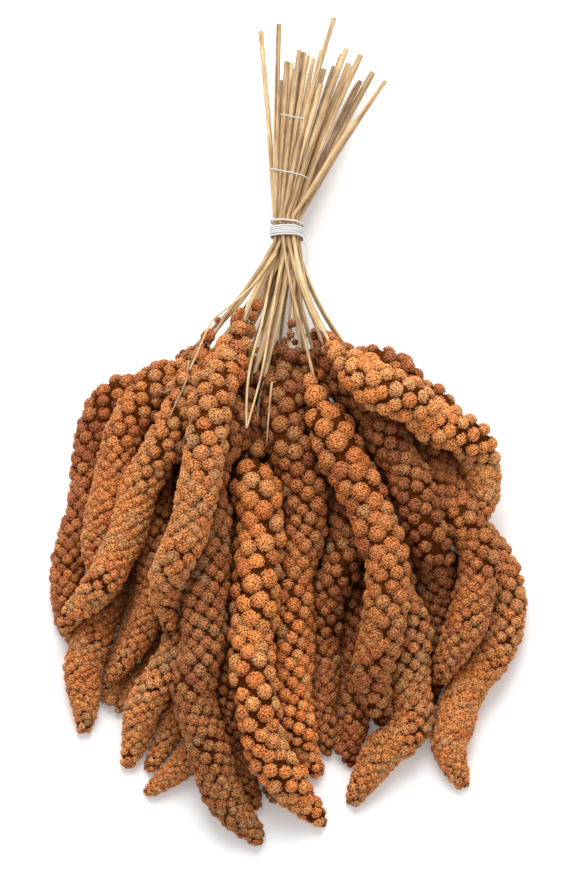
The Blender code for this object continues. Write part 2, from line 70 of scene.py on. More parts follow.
# Each seed head: its full radius, how high in the pile its stalk end and its tip start
# (0 lies on the table), and its route from the stalk to the tip, seen from above, with the
# tie at (0, 0).
HEADS = [
    (12.4, 3.0, 3.0, [(-18, -103), (-19, -150), (-21, -189), (-21, -223), (-10, -257), (18, -287)]),
    (11.0, 2.5, 2.5, [(-21, -48), (-30, -83), (-37, -115), (-43, -150), (-48, -179), (-54, -199)]),
    (12.0, 3.0, 3.0, [(9, -82), (22, -108), (38, -135), (48, -164), (50, -199), (43, -239)]),
    (11.6, 2.0, 2.0,
     [(-17, -78), (-29, -116), (-35, -156), (-39, -191), (-41, -230), (-34, -262), (-12, -297)]),
    (11.2, 2.0, 2.0, [(1, -62), (2, -97), (8, -141), (7, -181), (5, -213), (8, -242), (16, -264)]),
    (11.4, 1.0, 2.0, [(26, -62), (51, -91), (74, -123), (83, -155), (82, -185), (70, -221)]),
    (10.8, 2.0, 0.5, [(19, -64), (38, -100), (57, -122), (67, -148), (71, -182), (72, -206), (70, -231)]),
    (11.6, 2.0, 1.5, [(25, -70), (41, -89), (57, -99), (72, -104), (82, -112), (87, -128), (85, -146)]),
    (11.2, 0.0, 0.0,
     [(36, -80), (67, -115), (87, -146), (94, -171), (88, -198), (76, -225), (75, -247), (85, -269)]),
    (11.2, 1.0, 1.0, [(14, -64), (46, -122), (61, -162), (64, -199), (57, -229), (42, -252), (31, -278)]),
    (10.4, 1.0, 1.0, [(9, -66), (20, -108), (25, -145), (23, -177), (19, -209), (17, -255)]),
    (9.8, 0.0, 0.0, [(10, -70), (23, -122), (30, -165), (34, -205), (33, -235), (31, -260)]),
    (9.2, 0.0, 0.0, [(-4, -58), (-8, -104), (-11, -149), (-11, -193), (-10, -233), (-7, -277)]),
    (10.4, 1.5, 1.0,
     [(-24, -72), (-34, -112), (-40, -151), (-46, -185), (-56, -217), (-66, -238), (-78, -260)]),
    (9.2, 0.0, 0.5, [(-16, -70), (-24, -114), (-29, -159), (-37, -199), (-48, -229), (-67, -262)]),
    (9.0, 0.0, 0.5,
     [(-10, -66), (-15, -118), (-18, -164), (-24, -204), (-35, -236), (-51, -257), (-68, -273)]),
    (10.2, 2.0, 2.0, [(-38, -60), (-52, -98), (-65, -125), (-78, -148), (-88, -171), (-101, -198)]),
    (10.0, 2.0, 1.5, [(-44, -61), (-62, -78), (-78, -98), (-84, -123), (-87, -147), (-87, -176)]),
    (10.0, 0.5, 0.5,
     [(-58, -68), (-69, -76), (-77, -91), (-84, -114), (-92, -141), (-99, -168), (-100, -200)]),
    (10.8, 0.5, 0.0,
     [(-45, -78), (-55, -108), (-64, -133), (-74, -159), (-86, -186), (-93, -208), (-98, -243)]),
    (8.8, 1.0, 0.8, [(-32, -66), (-46, -106), (-56, -142), (-62, -172), (-71, -197), (-85, -218)]),
    (8.8, 0.0, 0.0, [(-24, -72), (-37, -116), (-48, -159), (-59, -191), (-71, -212), (-82, -233)]),
    (8.8, 0.0, 0.0, [(-32, -76), (-47, -114), (-58, -149), (-68, -178), (-79, -203), (-89, -228)]),
    (9.2, 0.0, 0.0, [(20, -70), (42, -118), (53, -158), (54, -194), (50, -228)]),
    (8.8, 1.0, 1.0,
     [(-14, -92), (-24, -124), (-28, -160), (-30, -196), (-29, -230), (-24, -256), (-15, -281)]),
    (8.8, 0.0, 0.0, [(28, -74), (58, -112), (74, -146), (79, -180), (73, -212)]),
]

# The look of each head, in the same order: where it starts to turn smooth and where it has
# turned, as shares of its length, how smooth it gets, its tone from pale tan to dark rust, its
# lobes' radius as a share of its own, and how bright it is at its stalk and at its tip. That
# brightness is painted light and shade: lower where a head lies deep among the others or under
# them, higher where it lies on top.
LOOKS = [
    (0.72, 1.00, 0.45, 0.45, 0.41, 1.30, 1.18),
    (0.42, 0.62, 0.75, 0.42, 0.45, 0.92, 0.92),
    (0.50, 0.75, 0.60, 0.49, 0.45, 1.10, 0.72),
    (0.70, 1.00, 0.45, 0.50, 0.34, 0.68, 0.68),
    (0.75, 1.00, 0.45, 0.50, 0.38, 0.50, 1.65),
    (0.60, 0.85, 0.60, 0.54, 0.37, 0.84, 0.84),
    (0.60, 0.85, 0.70, 0.55, 0.38, 0.65, 0.65),
    (0.70, 0.95, 0.50, 0.40, 0.37, 1.22, 1.22),
    (0.50, 0.75, 0.70, 0.42, 0.35, 1.06, 1.06),
    (0.60, 0.85, 0.65, 0.40, 0.35, 1.04, 1.04),
    (0.70, 0.95, 0.60, 0.52, 0.37, 0.88, 0.88),
    (0.75, 1.00, 0.50, 0.60, 0.37, 0.82, 0.82),
    (0.70, 0.95, 0.50, 0.50, 0.37, 0.95, 0.95),
    (0.60, 0.90, 0.60, 0.38, 0.36, 1.20, 1.20),
    (0.50, 0.80, 0.80, 0.42, 0.37, 1.06, 1.06),
    (0.50, 0.80, 0.80, 0.44, 0.37, 1.06, 1.06),
    (0.35, 0.60, 0.75, 0.42, 0.39, 1.05, 1.05),
    (0.40, 0.65, 0.70, 0.48, 0.39, 1.02, 1.02),
    (0.70, 0.95, 0.60, 0.62, 0.37, 0.92, 0.92),
    (0.50, 0.80, 0.70, 0.46, 0.35, 1.05, 1.05),
    (0.60, 0.85, 0.70, 0.50, 0.37, 0.98, 0.98),
    (0.50, 0.70, 0.80, 0.46, 0.37, 1.02, 1.02),
    (0.40, 0.65, 0.80, 0.44, 0.37, 1.02, 1.02),
    (0.60, 0.85, 0.60, 0.58, 0.37, 0.82, 0.82),
    (0.60, 0.85, 0.60, 0.55, 0.37, 0.90, 0.90),
    (0.60, 0.85, 0.60, 0.62, 0.37, 0.82, 0.82),
]

# The cut ends, seen from above. The first is the long one that crosses over the others.
CUT_ENDS = [
    (23, 106), (-13, 104), (-4, 104), (-3, 80), (0, 86), (2, 90), (4, 84), (6, 91), (8, 94),
    (10, 90), (11, 78), (13, 90), (16, 73), (17, 95), (18, 83), (23, 88), (25, 80), (27, 92),
    (29, 92), (30, 89), (32, 84), (33, 54), (36, 78), (36, 88), (42, 84), (48, 76),
]

# How the heads come to rest, as in the solids.
SPINE_POINTS = 36
PILE_STEP = 20.0
SETTLE_STEPS = 700
PART_STEPS = 200
DROP = 0.16
HOLD = 0.05
STIFF = (0.1, 0.1, 0.5)
PUSH = 0.9
SIDEWAYS = 0.8
NEIGHBOURS_EVERY = 20
NEIGHBOUR_REACH = 6.0
NECK_POINTS = 5
NECK_HOLD = 0.4
HEAD_GAP = 0.6
NECK = 26.0
NECK_SHARE = 0.38
BODY_THINS_FROM = 0.3
TIP_SHARE = 0.86
TIP_LENGTH = 34.0
TIP_DEPTH = 0.92
TIP_BEND = 1.35
FLAT = 1.0

# The stalks, which pass through the tie in rows. They thicken over one stretch above the tie
# and thin over one below it: how far from the tie each starts, and how long it is.
SLOT_ROWS = [3, 5, 5, 5, 5, 3]
SLOT_STAGGER = 0.25
ROW_LEAN = 0.15
STALK_RADIUS = 1.1
CUT_RADIUS = 1.45
NECK_THINNER = 0.2
THICKENS = (10.0, 60.0)
THINS = (20.0, 40.0)
STALK_GAP = 0.35
STALK_CLEAR = 0.2
TIE_HEIGHT = 22.0
FAN = 2.3
FAN_BEND = 1.3
FAN_UNEVEN = 2.0
SLICE = 4.0
STRAIGHT_SLICES = 3
STALK_STEPS = 360
STALK_PART_STEPS = 60
STALK_STIFF = 0.4
STALK_HOLD = 0.03
STALK_PUSH = 0.5
HEAD_PUSH = 0.6
STEEPEST = 1.4
BEND_SHARE = 0.6
MOST_LEAN = 2.0
HEADS_REACH = 15.0
PAST_END = 1.2
SHORTEST_STEP = 2.4

# The lobes of a head stand apart in its upper part, and run together where it turns smooth.
LOBE_SHRINK = 0.3
FIRST_LOBE = 1.0
LAST_LOBE = 1.5
LOBE_SPACING = 1.76
SMOOTH_SPACING = 1.38
SMOOTH_SIZE = 0.82
SMOOTH_EVEN = 0.8
CLOSE_PACKED = 0.866
LOBE_UNEVEN = 0.12
LOBE_DEPTH = 0.1
LOBE_SWAY = 0.23
LEAST_OFF_LINE = 0.45
LEAST_ROUND = 0.55
NECK_LOBE = 1.0
SMALLEST_NECK_LOBE = 2.6
TIP_LOBE = 0.24
STRAYS = (4, 7)
STRAY_REACH = 15.0
STRAY_SIZES = (0.8, 0.45)
STRAY_UNEVEN = (0.8, 1.15)
STRAY_BEND = 1.3
STRAY_LIFT = 0.4
STRAY_OFF = 0.4
GOLDEN = math.pi * (3 - math.sqrt(5))
LOBE_TONE_NOISE = 0.085
LOBE_LIGHT_NOISE = 0.06
TIP_TONE = 0.06
TIP_LIGHT = 0.06
DULL_LOBES = 0.08
DULL_TONE = 0.1
FILL_STEP = 0.5
FILL_SIZE = 0.78
FILL_REACH = 0.95
FILL_GAP = 0.25
OUT_OF_LINE = 0.07

# Low lobes that reach into the gaps beside the heads: rows of them, seen from above.
GAP_LOBE = 3.4
GAP_STEP = 4.6
GAP_HEIGHT = 4.5
GAP_SWAY = 1.0
GAP_UNEVEN = 0.15
GAPS = [
    [(29, -170), (27, -190), (27, -210), (26, -230), (25, -251)],
    [(-74, -158), (-79, -178), (-84, -192), (-88, -208)],
    [(-73, -206), (-79, -217), (-84, -227)],
    [(19, -141), (16, -154), (13, -166)],
    [(79, -148), (82, -157)],
    [(61, -155), (62, -163)],
]

# The seeds on a lobe, and the lobe and the core under them. A seed is made where so many of the
# directions to the sky are free and it turns outward by more than SEED_CAP.
SEED_PITCH = 1.27
SEED_SWAY = 0.16
SEED_SIDES = 5
SEED_SIZE = 0.56
SEED_UNEVEN = 0.2
SEED_HEIGHT = 0.75
SEED_SINK = 0.2
SEED_CAP = 0.12
SEED_INSIDE = 0.3
SEED_LOWEST = 0.4
SEED_TONE_NOISE = 0.045
SEED_LIGHT_NOISE = 0.07
# Painted light and shade on a lobe's seeds: brighter in its middle, darker in the creases towards its edge,
# and paler there too, partly for the pale bristles and partly as a painted sheen.
EDGE_PAINTED_LIGHT = 1.17
EDGE_PAINTED_SHADE = 0.72
EDGE_BEND = 1.3
EDGE_DUST_AND_SHEEN = 0.1
SKY_DIRECTIONS = 60
SKY_REACH = 0.85
LEAST_SKY = 3
LEAST_TURN = 0.1
# Painted shade on lobes that other heads cover from the sky.
SKY_PAINTED_SHADE = 0.55
RIM_TILT = 0.9
LOBE_SIDES = 5
LOBE_RINGS = (55, 108)
LOBE_UNDER = 0.25
LEAST_HEIGHT = 0.02
CORE_SHARE = 0.74
CORE_SIDES = 12
CORE_POINTS = 120
CORE_RING = 3
CORE_AT_STALK = 0.3
CORE_GROWS = 22.0
# The core's tone, its top, and a low brightness that paints the shade deep between the lobes.
CORE_SHADED_LOOK = (0.64, 0.5, 0.27)

# The stalks' finer shape.
STALK_SIDES = 10
STALK_RING = 3.0
STALK_UNEVEN = 0.03
STALK_KINDS = (0.5, 0.38, 0.12)
DARK_STALKS = (18, 25, 8)
STRAW_FLAT = 0.22
STRAW_TWIST = 0.03
LEAST_POINTS = 8

# The leaf strips along the stalks: how far before a stalk's start and its end one may start and
# must end, how close it lies at the tie and where it comes away from it, and how it thins.
STRIPS = 2
STRIP_ENDS = (6, 4)
STRIP_POINTS = 6
STRIP_AT_TIE = 0.35
STRIP_RISES = (4, 14)
STRIP_OUT = 0.3
STRIP_TIP = 0.25
STRIP_TAPER = 8.0
STRIP_THICKER = 0.2
STRIP_LENGTHS = (35.0, 110.0)
STRIP_RADII = (0.45, 0.8)
STRIP_WIND = 0.012
STRIP_SIDES = 6
STRIP_KINDS = (0.4, 0.35, 0.25)

# The tie: the band of thread, the loose turn and tail, and the threads laid over the stalks.
TURNS = 5
TURN_WIDTH = 1.1
BAND_STARTS = -1.0
BAND_SHORT = 0.3
BAND_WAVE = (0.05, 9)
THREAD_RADIUS = 0.5
THREAD_CLEAR = 0.35
THREAD_UNEVEN = 0.12
THREAD_TWIST = 1.5
THREAD_PLACE = 5.2
THREAD_TILT = 0.1
THREAD_SIDES = 8
THREAD_STEPS = 20
THREAD_TAIL = [
    (7.4, -1.5, 25.5), (8.6, -4.5, 26.5), (9.7, -9.0, 26.0), (9.9, -13.5, 25.0), (9.0, -17.0, 24.5),
]
LAID_RADIUS = 0.32
LAID_STEPS = 9
LAID_ROUNDS = 2
LAID_MARGIN = 0.4
LAID_SAG = 2.5
LAID_TUCK = 1.5
LAID_THREADS = [((-3.0, 58.5), (8.5, 55.5)), ((-8.0, 31.5), (10.5, 26.5))]

# Loose straws and thin twigs that lie on the heads: how thick each is, its kind, and its route,
# seen from above.
TWIGS = [
    (1.0, "straw_gold",
     [(-7, -18), (-12.1, -48.8), (-15.5, -63.3), (-18.4, -78.8), (-19.3, -92.7), (-19.3, -105)]),
    (0.95, "straw_gold",
     [(-3, -18), (-8.2, -48.8), (-10.1, -62.9), (-12.6, -77.4), (-15.9, -91.8), (-18.8, -104)]),
    (0.75, "straw_gold",
     [(-5.5, -12), (-16, -28), (-28, -40.5), (-35.3, -47), (-39.6, -56.1), (-43.5, -66.2), (-46.5, -74)]),
    (0.7, "straw_tan", [(-7.2, -81.1), (-8.5, -94.7), (-9.2, -104.6), (-9.7, -111.5)]),
    (0.5, "straw_tan", [(-47.1, -65.3), (-47.8, -77.4), (-49.3, -83.2), (-55.7, -97.7)]),
    (0.4, "straw_brown", [(-62, -81.4), (-58.5, -84.5), (-48.6, -83)]),
]
TWIG_STEP = 3.0
TWIG_TAPER = 0.6
TAUT_ROUNDS = 200

# The seeds' colours from pale to dark, the painted shade and highlight that each seed gets from
# its dark rim to its bright top, and the painted light and shade of the pattern on the lobes under
# them, which starts at a seed's middle.
MILLET_TONES = [
    (0.0, (0.42, 0.235, 0.10)),
    (0.22, (0.60, 0.30, 0.11)),
    (0.42, (0.67, 0.25, 0.06)),
    (0.60, (0.52, 0.155, 0.036)),
    (0.80, (0.34, 0.09, 0.024)),
    (1.0, (0.19, 0.05, 0.02)),
]
SEED_PAINTED_LIGHT = [
    (0.0, (0.62, 0.5, 0.42)),
    (0.45, (0.86, 0.74, 0.64)),
    (0.78, (1.2, 1.1, 0.92)),
    (1.0, (2.0, 2.0, 1.6)),
]
BED_PAINTED_LIGHT = [(0.1, (1.1, 1.0, 0.85)), (0.4, (0.66, 0.54, 0.46)), (0.7, (0.5, 0.38, 0.3))]
PATCH_SCALE = 55.0
PATCH_TONE = 0.35
GRAIN_SCALE = 1400.0
ROUGHNESS = (0.3, 0.5)

# Each kind of straw: its colours from the darkest streaks to the palest.
STRAWS = {
    "straw_gold": [(0.34, 0.19, 0.075), (0.56, 0.36, 0.16), (0.74, 0.53, 0.28), (0.84, 0.68, 0.42)],
    "straw_tan": [(0.20, 0.11, 0.05), (0.40, 0.25, 0.12), (0.58, 0.39, 0.20), (0.70, 0.52, 0.30)],
    "straw_brown": [(0.10, 0.06, 0.035), (0.22, 0.135, 0.075), (0.36, 0.24, 0.14), (0.50, 0.36, 0.22)],
}
STRAW_STOPS = (0.5, 0.68, 0.82, 0.97)
STREAK_STRETCH = 0.05
STREAK_SCALE = 2.2
STRAW_PATCH_SCALE = 60.0
STRAW_PATCH_TONE = 0.5
COTTON_SHADES = [(0.0, (0.55, 0.52, 0.48)), (0.5, (0.86, 0.85, 0.82)), (1.0, (0.95, 0.94, 0.92))]

# The table and the light, in metres.
FLOOR_REACH = 6.0
FLOOR_COLOUR = (0.93, 0.93, 0.93, 1)
FLOOR_GLOW = 0.1
WHITE = (1, 1, 1, 1)
SKY_STRENGTH = 0.75
KEY_PLACE = (-0.05, 1.0, 1.3)
KEY_TARGET = (0, -0.05, 0)
KEY_SIZE = 1.2
KEY_POWER = 26

# The camera looks down at the bunch. The image is 584 by 894 pixels, and PIXELS of them span
# a millimetre at the tie, which is seen at TIE_PIXEL.
IMAGE = (584, 894)
PIXELS = 2.07
TIE_PIXEL = (287, 232)
ELEVATION = 78.0
DISTANCE = 2500.0
SENSOR = 36.0
CLIP_END = 20


def smooth_step(x):
    x = np.clip(x, 0, 1)
    return x * x * (3 - 2 * x)


def length_of(points):
    return float(np.linalg.norm(np.diff(points, axis=0), axis=1).sum())


def spaced_along(points, count):
    """Evenly spaced points on a smooth curve through the given ones."""
    points = np.array(points, float)
    padded = np.vstack([2 * points[0] - points[1], points, 2 * points[-1] - points[-2]])
    t = np.linspace(0, 1, CURVE_STEPS, endpoint=False)[:, None]
    pieces = []
    for a, b, c, d in zip(padded, padded[1:], padded[2:], padded[3:]):
        bend = (2 * a - 5 * b + 4 * c - d) * t**2 + (3 * b - a - 3 * c + d) * t**3
        pieces.append(b + 0.5 * ((c - a) * t + bend))
    curve = np.vstack(pieces + [points[-1:]])
    gone = np.concatenate([[0], np.cumsum(np.linalg.norm(np.diff(curve, axis=0), axis=1))])
    places = np.linspace(0, gone[-1], count)
    return np.stack([np.interp(places, gone, curve[:, k]) for k in range(points.shape[1])], axis=1)


def frames_along(points):
    """Two cross directions at each point of a line, which follow it without twisting."""
    tangents = np.gradient(points, axis=0)
    tangents /= np.linalg.norm(tangents, axis=1)[:, None]
    side = np.cross(tangents[0], (0.0, 0.0, 1.0))
    sides = []
    for tangent in tangents:
        side = side - tangent * side.dot(tangent)
        side /= np.linalg.norm(side)
        sides.append(side)
    sides = np.array(sides)
    return sides, np.cross(tangents, sides)


def body_radius(full, place, length):
    """The radius of a head's long body, which thins towards the tip."""
    thinned = np.clip((place / length - BODY_THINS_FROM) / (1 - BODY_THINS_FROM), 0, 1)
    return full * (1 - (1 - TIP_SHARE) * thinned)


def head_radius(full, place, length):
    """A head's outer radius at a distance from its stalk, with its narrow neck and its tapered tip."""
    neck = NECK_SHARE + (1 - NECK_SHARE) * smooth_step(place / NECK)
    into_tip = np.clip((place - (length - TIP_LENGTH)) / TIP_LENGTH, 0, 1)
    return body_radius(full, place, length) * neck * np.sqrt(1 - TIP_DEPTH * into_tip**TIP_BEND)


def close_pairs(points, radii, owners):
    """The pairs of points of different heads that could touch soon."""
    apart = np.linalg.norm(points[:, None] - points[None], axis=2)
    near = apart < radii[:, None] + radii[None] + NEIGHBOUR_REACH
    near &= owners[:, None] < owners[None]
    return np.nonzero(near)


def push_apart(points, radii, pairs):
    """Moves overlapping points of two heads off each other."""
    first, second = pairs
    apart = points[first] - points[second]
    distance = np.sqrt((apart**2).sum(axis=1)) + 1e-9
    overlap = radii[first] + radii[second] + HEAD_GAP - distance
    hit = overlap > 0
    first, second = first[hit], second[hit]
    push = apart[hit] * (overlap[hit] / distance[hit])[:, None] * (SIDEWAYS, SIDEWAYS, 1.0)
    count = len(points)
    touching = np.bincount(first, minlength=count) + np.bincount(second, minlength=count)
    for k in range(3):
        total = np.bincount(first, push[:, k], count) - np.bincount(second, push[:, k], count)
        points[:, k] += PUSH * total / np.maximum(touching, 1)


def hold_necks(spines):
    """A stiff stalk carries each neck: its height is drawn to the line from the tie to the body."""
    far = np.linalg.norm(spines[:, :NECK_POINTS + 1, :2], axis=2)
    share = far[:, :-1] / far[:, -1:]
    line = TIE_HEIGHT + (spines[:, NECK_POINTS, 2:3] - TIE_HEIGHT) * share
    spines[:, :NECK_POINTS, 2] += NECK_HOLD * (line - spines[:, :NECK_POINTS, 2])


def settled_spines():
    """The heads at rest on the table and on each other. Returns (spines, radii), one row a head."""
    plan = np.array([spaced_along(route, SPINE_POINTS) for _, _, _, route in HEADS])
    places = [np.linspace(0, length_of(flat), SPINE_POINTS) for flat in plan]
    radii = np.array([head_radius(head[0], at, at[-1]) for head, at in zip(HEADS, places)])
    share = np.linspace(0, 1, SPINE_POINTS)
    height = np.array([full + PILE_STEP * (start + (end - start) * share) for full, start, end, _ in HEADS])
    spines = np.concatenate([plan, height[..., None]], axis=2)
    owners = np.repeat(np.arange(len(HEADS)), SPINE_POINTS)
    for step in range(SETTLE_STEPS + PART_STEPS):
        if step < SETTLE_STEPS:
            spines[..., 2] -= DROP
            spines[..., :2] += HOLD * (plan - spines[..., :2])
            middle = (spines[:, :-2] + spines[:, 2:]) / 2
            spines[:, 1:-1] += (middle - spines[:, 1:-1]) * STIFF
            hold_necks(spines)
        points = spines.reshape(-1, 3)
        if step % NEIGHBOURS_EVERY == 0:
            pairs = close_pairs(points, radii.reshape(-1), owners)
        push_apart(points, radii.reshape(-1), pairs)
        spines = points.reshape(spines.shape)
        spines[..., 2] = np.maximum(spines[..., 2], radii - FLAT)
    return spines, radii


def slots():
    """Where the stalks pass the tie, in rows laid close together: (x, z) from its middle."""
    pitch = 2 * STALK_RADIUS + STALK_GAP
    rise = pitch * math.sqrt(3) / 2
    places = []
    for row, count in enumerate(SLOT_ROWS):
        stagger = SLOT_STAGGER if row % 2 else -SLOT_STAGGER
        for k in range(count):
            x = (k - (count - 1) / 2 + stagger) * pitch
            places.append((x, (row - (len(SLOT_ROWS) - 1) / 2) * rise))
    return np.array(places)


def slot_of_each_head(spines):
    """The lowest heads take the lowest row of slots, and so on, each row from left to right."""
    order = sorted(range(len(HEADS)), key=lambda h: spines[h, NECK_POINTS, 2])
    chosen = np.zeros(len(HEADS), int)
    first = 0
    for count in SLOT_ROWS:
        row = sorted(order[first:first + count], key=lambda h: spines[h, 0, 0] / abs(spines[h, 0, 1]))
        for k, head in enumerate(row):
            chosen[head] = first + k
        first += count
    return chosen


def cut_end_of_each_slot(places):
    """The cut ends go out from left to right. The crossing stalk starts at the top row's left."""
    crossing = len(places) - SLOT_ROWS[-1]
    others = [k for k in range(len(places)) if k != crossing]
    others.sort(key=lambda k: places[k][0] + ROW_LEAN * places[k][1])
    ends = {crossing: CUT_ENDS[0]}
    for k, end in zip(others, sorted(CUT_ENDS[1:])):
        ends[k] = end
    return [ends[k] for k in range(len(places))]


def stalk_radius(y):
    """Thinner towards the head, and thicker towards the cut end."""
    thicker = smooth_step((y - THICKENS[0]) / THICKENS[1]) * (CUT_RADIUS - STALK_RADIUS)
    thinner = smooth_step((-y - THINS[0]) / THINS[1]) * NECK_THINNER
    return STALK_RADIUS + thicker - thinner


def push_off_heads(paths, active, ys, radii, heads):
    """Moves the stalks' points out of every head but their own."""
    spheres, sphere_radii, owners = heads
    own = np.arange(len(paths))[:, None, None] == owners[None, None]
    slices = np.broadcast_to(ys, paths.shape[:2])
    points = np.stack([paths[..., 0], slices, paths[..., 1]], axis=2)
    apart = points[:, :, None] - spheres[None, None]
    distance = np.sqrt((apart**2).sum(axis=3)) + 1e-9
    overlap = sphere_radii[None, None] + radii[None, :, None] + STALK_GAP - distance
    overlap = np.where(active[..., None] & ~own, np.maximum(overlap, 0), 0)
    across = np.sqrt(apart[..., 0]**2 + apart[..., 2]**2) + 1e-9
    push = (apart[..., ::2] * (overlap / across)[..., None]).sum(axis=2)
    paths += HEAD_PUSH * push / np.maximum((overlap > 0).sum(axis=2), 1)[..., None]


def relax(paths, active, pinned, ys, heads):
    """Moves the stalks apart in each slice, off the heads and the table, and keeps them smooth."""
    goal = paths.copy()
    radii = stalk_radius(ys)
    other = ~np.eye(len(paths), dtype=bool)[..., None] & active[:, None] & active[None]
    for step in range(STALK_STEPS + STALK_PART_STEPS):
        if step < STALK_STEPS:
            middle = (paths[:, :-2] + paths[:, 2:]) / 2
            loose = (active[:, 1:-1] & active[:, 2:])[..., None]
            paths[:, 1:-1] += np.where(loose, STALK_STIFF * (middle - paths[:, 1:-1]), 0)
            paths += STALK_HOLD * (goal - paths)
        slope = np.gradient(paths, ys, axis=1)
        lean = np.sqrt(1 + (slope**2).sum(axis=2))
        apart = paths[:, None] - paths[None]
        distance = np.sqrt((apart**2).sum(axis=3)) + 1e-9
        reach = (2 * radii + STALK_GAP) * np.minimum((lean[:, None] + lean[None]) / 2, MOST_LEAN)
        overlap = np.where(other, np.maximum(reach - distance, 0), 0)
        push = (apart * (overlap / distance)[..., None]).sum(axis=1)
        paths += push * STALK_PUSH / np.maximum((overlap > 0).sum(axis=1), 1)[..., None]
        if heads is not None:
            push_off_heads(paths, active, ys, radii, heads)
        paths[..., 1] = np.maximum(paths[..., 1], radii + STALK_CLEAR)
        paths[pinned] = goal[pinned]


def lower_paths(spines, radii, places, chosen):
    """The stalks' (x, z) in each slice from the tie to the heads. Returns (slices, paths, active)."""
    count = len(spines)
    ys = -np.arange(0, SLICE - spines[:, 0, 1].min(), SLICE)
    paths = np.zeros((count, len(ys), 2))
    active = np.zeros((count, len(ys)), bool)
    pinned = np.zeros((count, len(ys)), bool)
    for h in range(count):
        start = places[chosen[h]] + (0, TIE_HEIGHT)
        end = spines[h, 0, ::2]
        far = -spines[h, 0, 1]
        heading = spines[h, 2] - spines[h, 0]
        slope = np.clip(heading[::2] / abs(heading[1]), -STEEPEST, STEEPEST) * far * BEND_SHARE
        t = np.clip(-ys / far, 0, 1)[:, None]
        paths[h] = start * (1 + 2 * t) * (1 - t)**2 + end * t**2 * (3 - 2 * t) + slope * t**2 * (t - 1)
        last = int(far // SLICE)
        active[h, :last + 1] = True
        pinned[h, :2] = True
        pinned[h, last:] = True
        paths[h, :2] = start
    points = spines.reshape(-1, 3)
    owners = np.repeat(np.arange(count), SPINE_POINTS)
    close = points[:, 1] > ys[-1] - HEADS_REACH
    relax(paths, active, pinned, ys, (points[close], radii.reshape(-1)[close], owners[close]))
    return ys, paths, active


def upper_paths(places, ends):
    """The stalks' (x, z) in each slice from the tie to the cut ends. Returns (slices, paths)."""
    rng = random.Random(SEED)
    count = len(places)
    ys = np.arange(0, max(y for _, y in ends) + SLICE, SLICE)
    paths = np.zeros((count, len(ys), 2))
    active = np.zeros((count, len(ys)), bool)
    pinned = np.zeros((count, len(ys)), bool)
    for k, (x, y) in enumerate(ends):
        start = places[k] + (0, TIE_HEIGHT)
        end = np.array([x, TIE_HEIGHT + places[k][1] * FAN + rng.uniform(-FAN_UNEVEN, FAN_UNEVEN)])
        paths[k] = start + (end - start) * np.clip(ys / y, 0, PAST_END)[:, None]**FAN_BEND
        active[k, :int(y // SLICE) + 2] = True
        pinned[k, :STRAIGHT_SLICES] = True
        paths[k, :STRAIGHT_SLICES] = start
    relax(paths, active, pinned, ys, None)
    return ys, paths


def stalk_lines(spines, radii):
    """Each head's stalk as a line of points, from its cut end into the head."""
    places = slots()
    chosen = slot_of_each_head(spines)
    ends = cut_end_of_each_slot(places)
    low_y, low, low_active = lower_paths(spines, radii, places, chosen)
    high_y, high = upper_paths(places, ends)
    lines = []
    for h, slot in enumerate(chosen):
        cut = ends[slot][1]
        cut_x = np.interp(cut, high_y, high[slot, :, 0])
        cut_z = np.interp(cut, high_y, high[slot, :, 1])
        above = [(high[slot, k, 0], y, high[slot, k, 1]) for k, y in enumerate(high_y) if y < cut - 1]
        below = [(low[h, k, 0], y, low[h, k, 1]) for k, y in enumerate(low_y) if k and low_active[h, k]]
        if np.linalg.norm(np.array(below[-1]) - spines[h, 0]) < SHORTEST_STEP:
            below.pop()
        inside = spaced_along(spines[h, :4], 4)[:3]
        lines.append(np.array([(cut_x, cut, cut_z)] + above[::-1] + below + [tuple(p) for p in inside]))
    return lines


def along(values, places, at):
    """A row of values at each place along a line."""
    return np.stack([np.interp(at, places, values[:, k]) for k in range(values.shape[1])], axis=-1)


class Lobes:
    """The lobes of one head: centres, outward directions, radii, tones and brightness."""

    def __init__(self):
        self.centres, self.outwards, self.radii, self.looks = [], [], [], []

    def add(self, centre, outward, radius, tone, light):
        self.centres.append(centre)
        self.outwards.append(outward)
        self.radii.append(radius)
        self.looks.append((tone, light))

    def finish(self):
        self.centres = np.array(self.centres)
        self.outwards = np.array(self.outwards)
        self.radii = np.array(self.radii)
        self.looks = np.array(self.looks)
        return self


def lobe_look(tone, bright, share, rng):
    """The tone and brightness of one lobe. A few are duller, and the tips are more golden."""
    tone = tone + rng.gauss(0, LOBE_TONE_NOISE) - TIP_TONE * share
    light = bright * (1 + rng.gauss(0, LOBE_LIGHT_NOISE) + TIP_LIGHT * share)
    if rng.random() < DULL_LOBES:
        tone -= DULL_TONE
    return tone, light


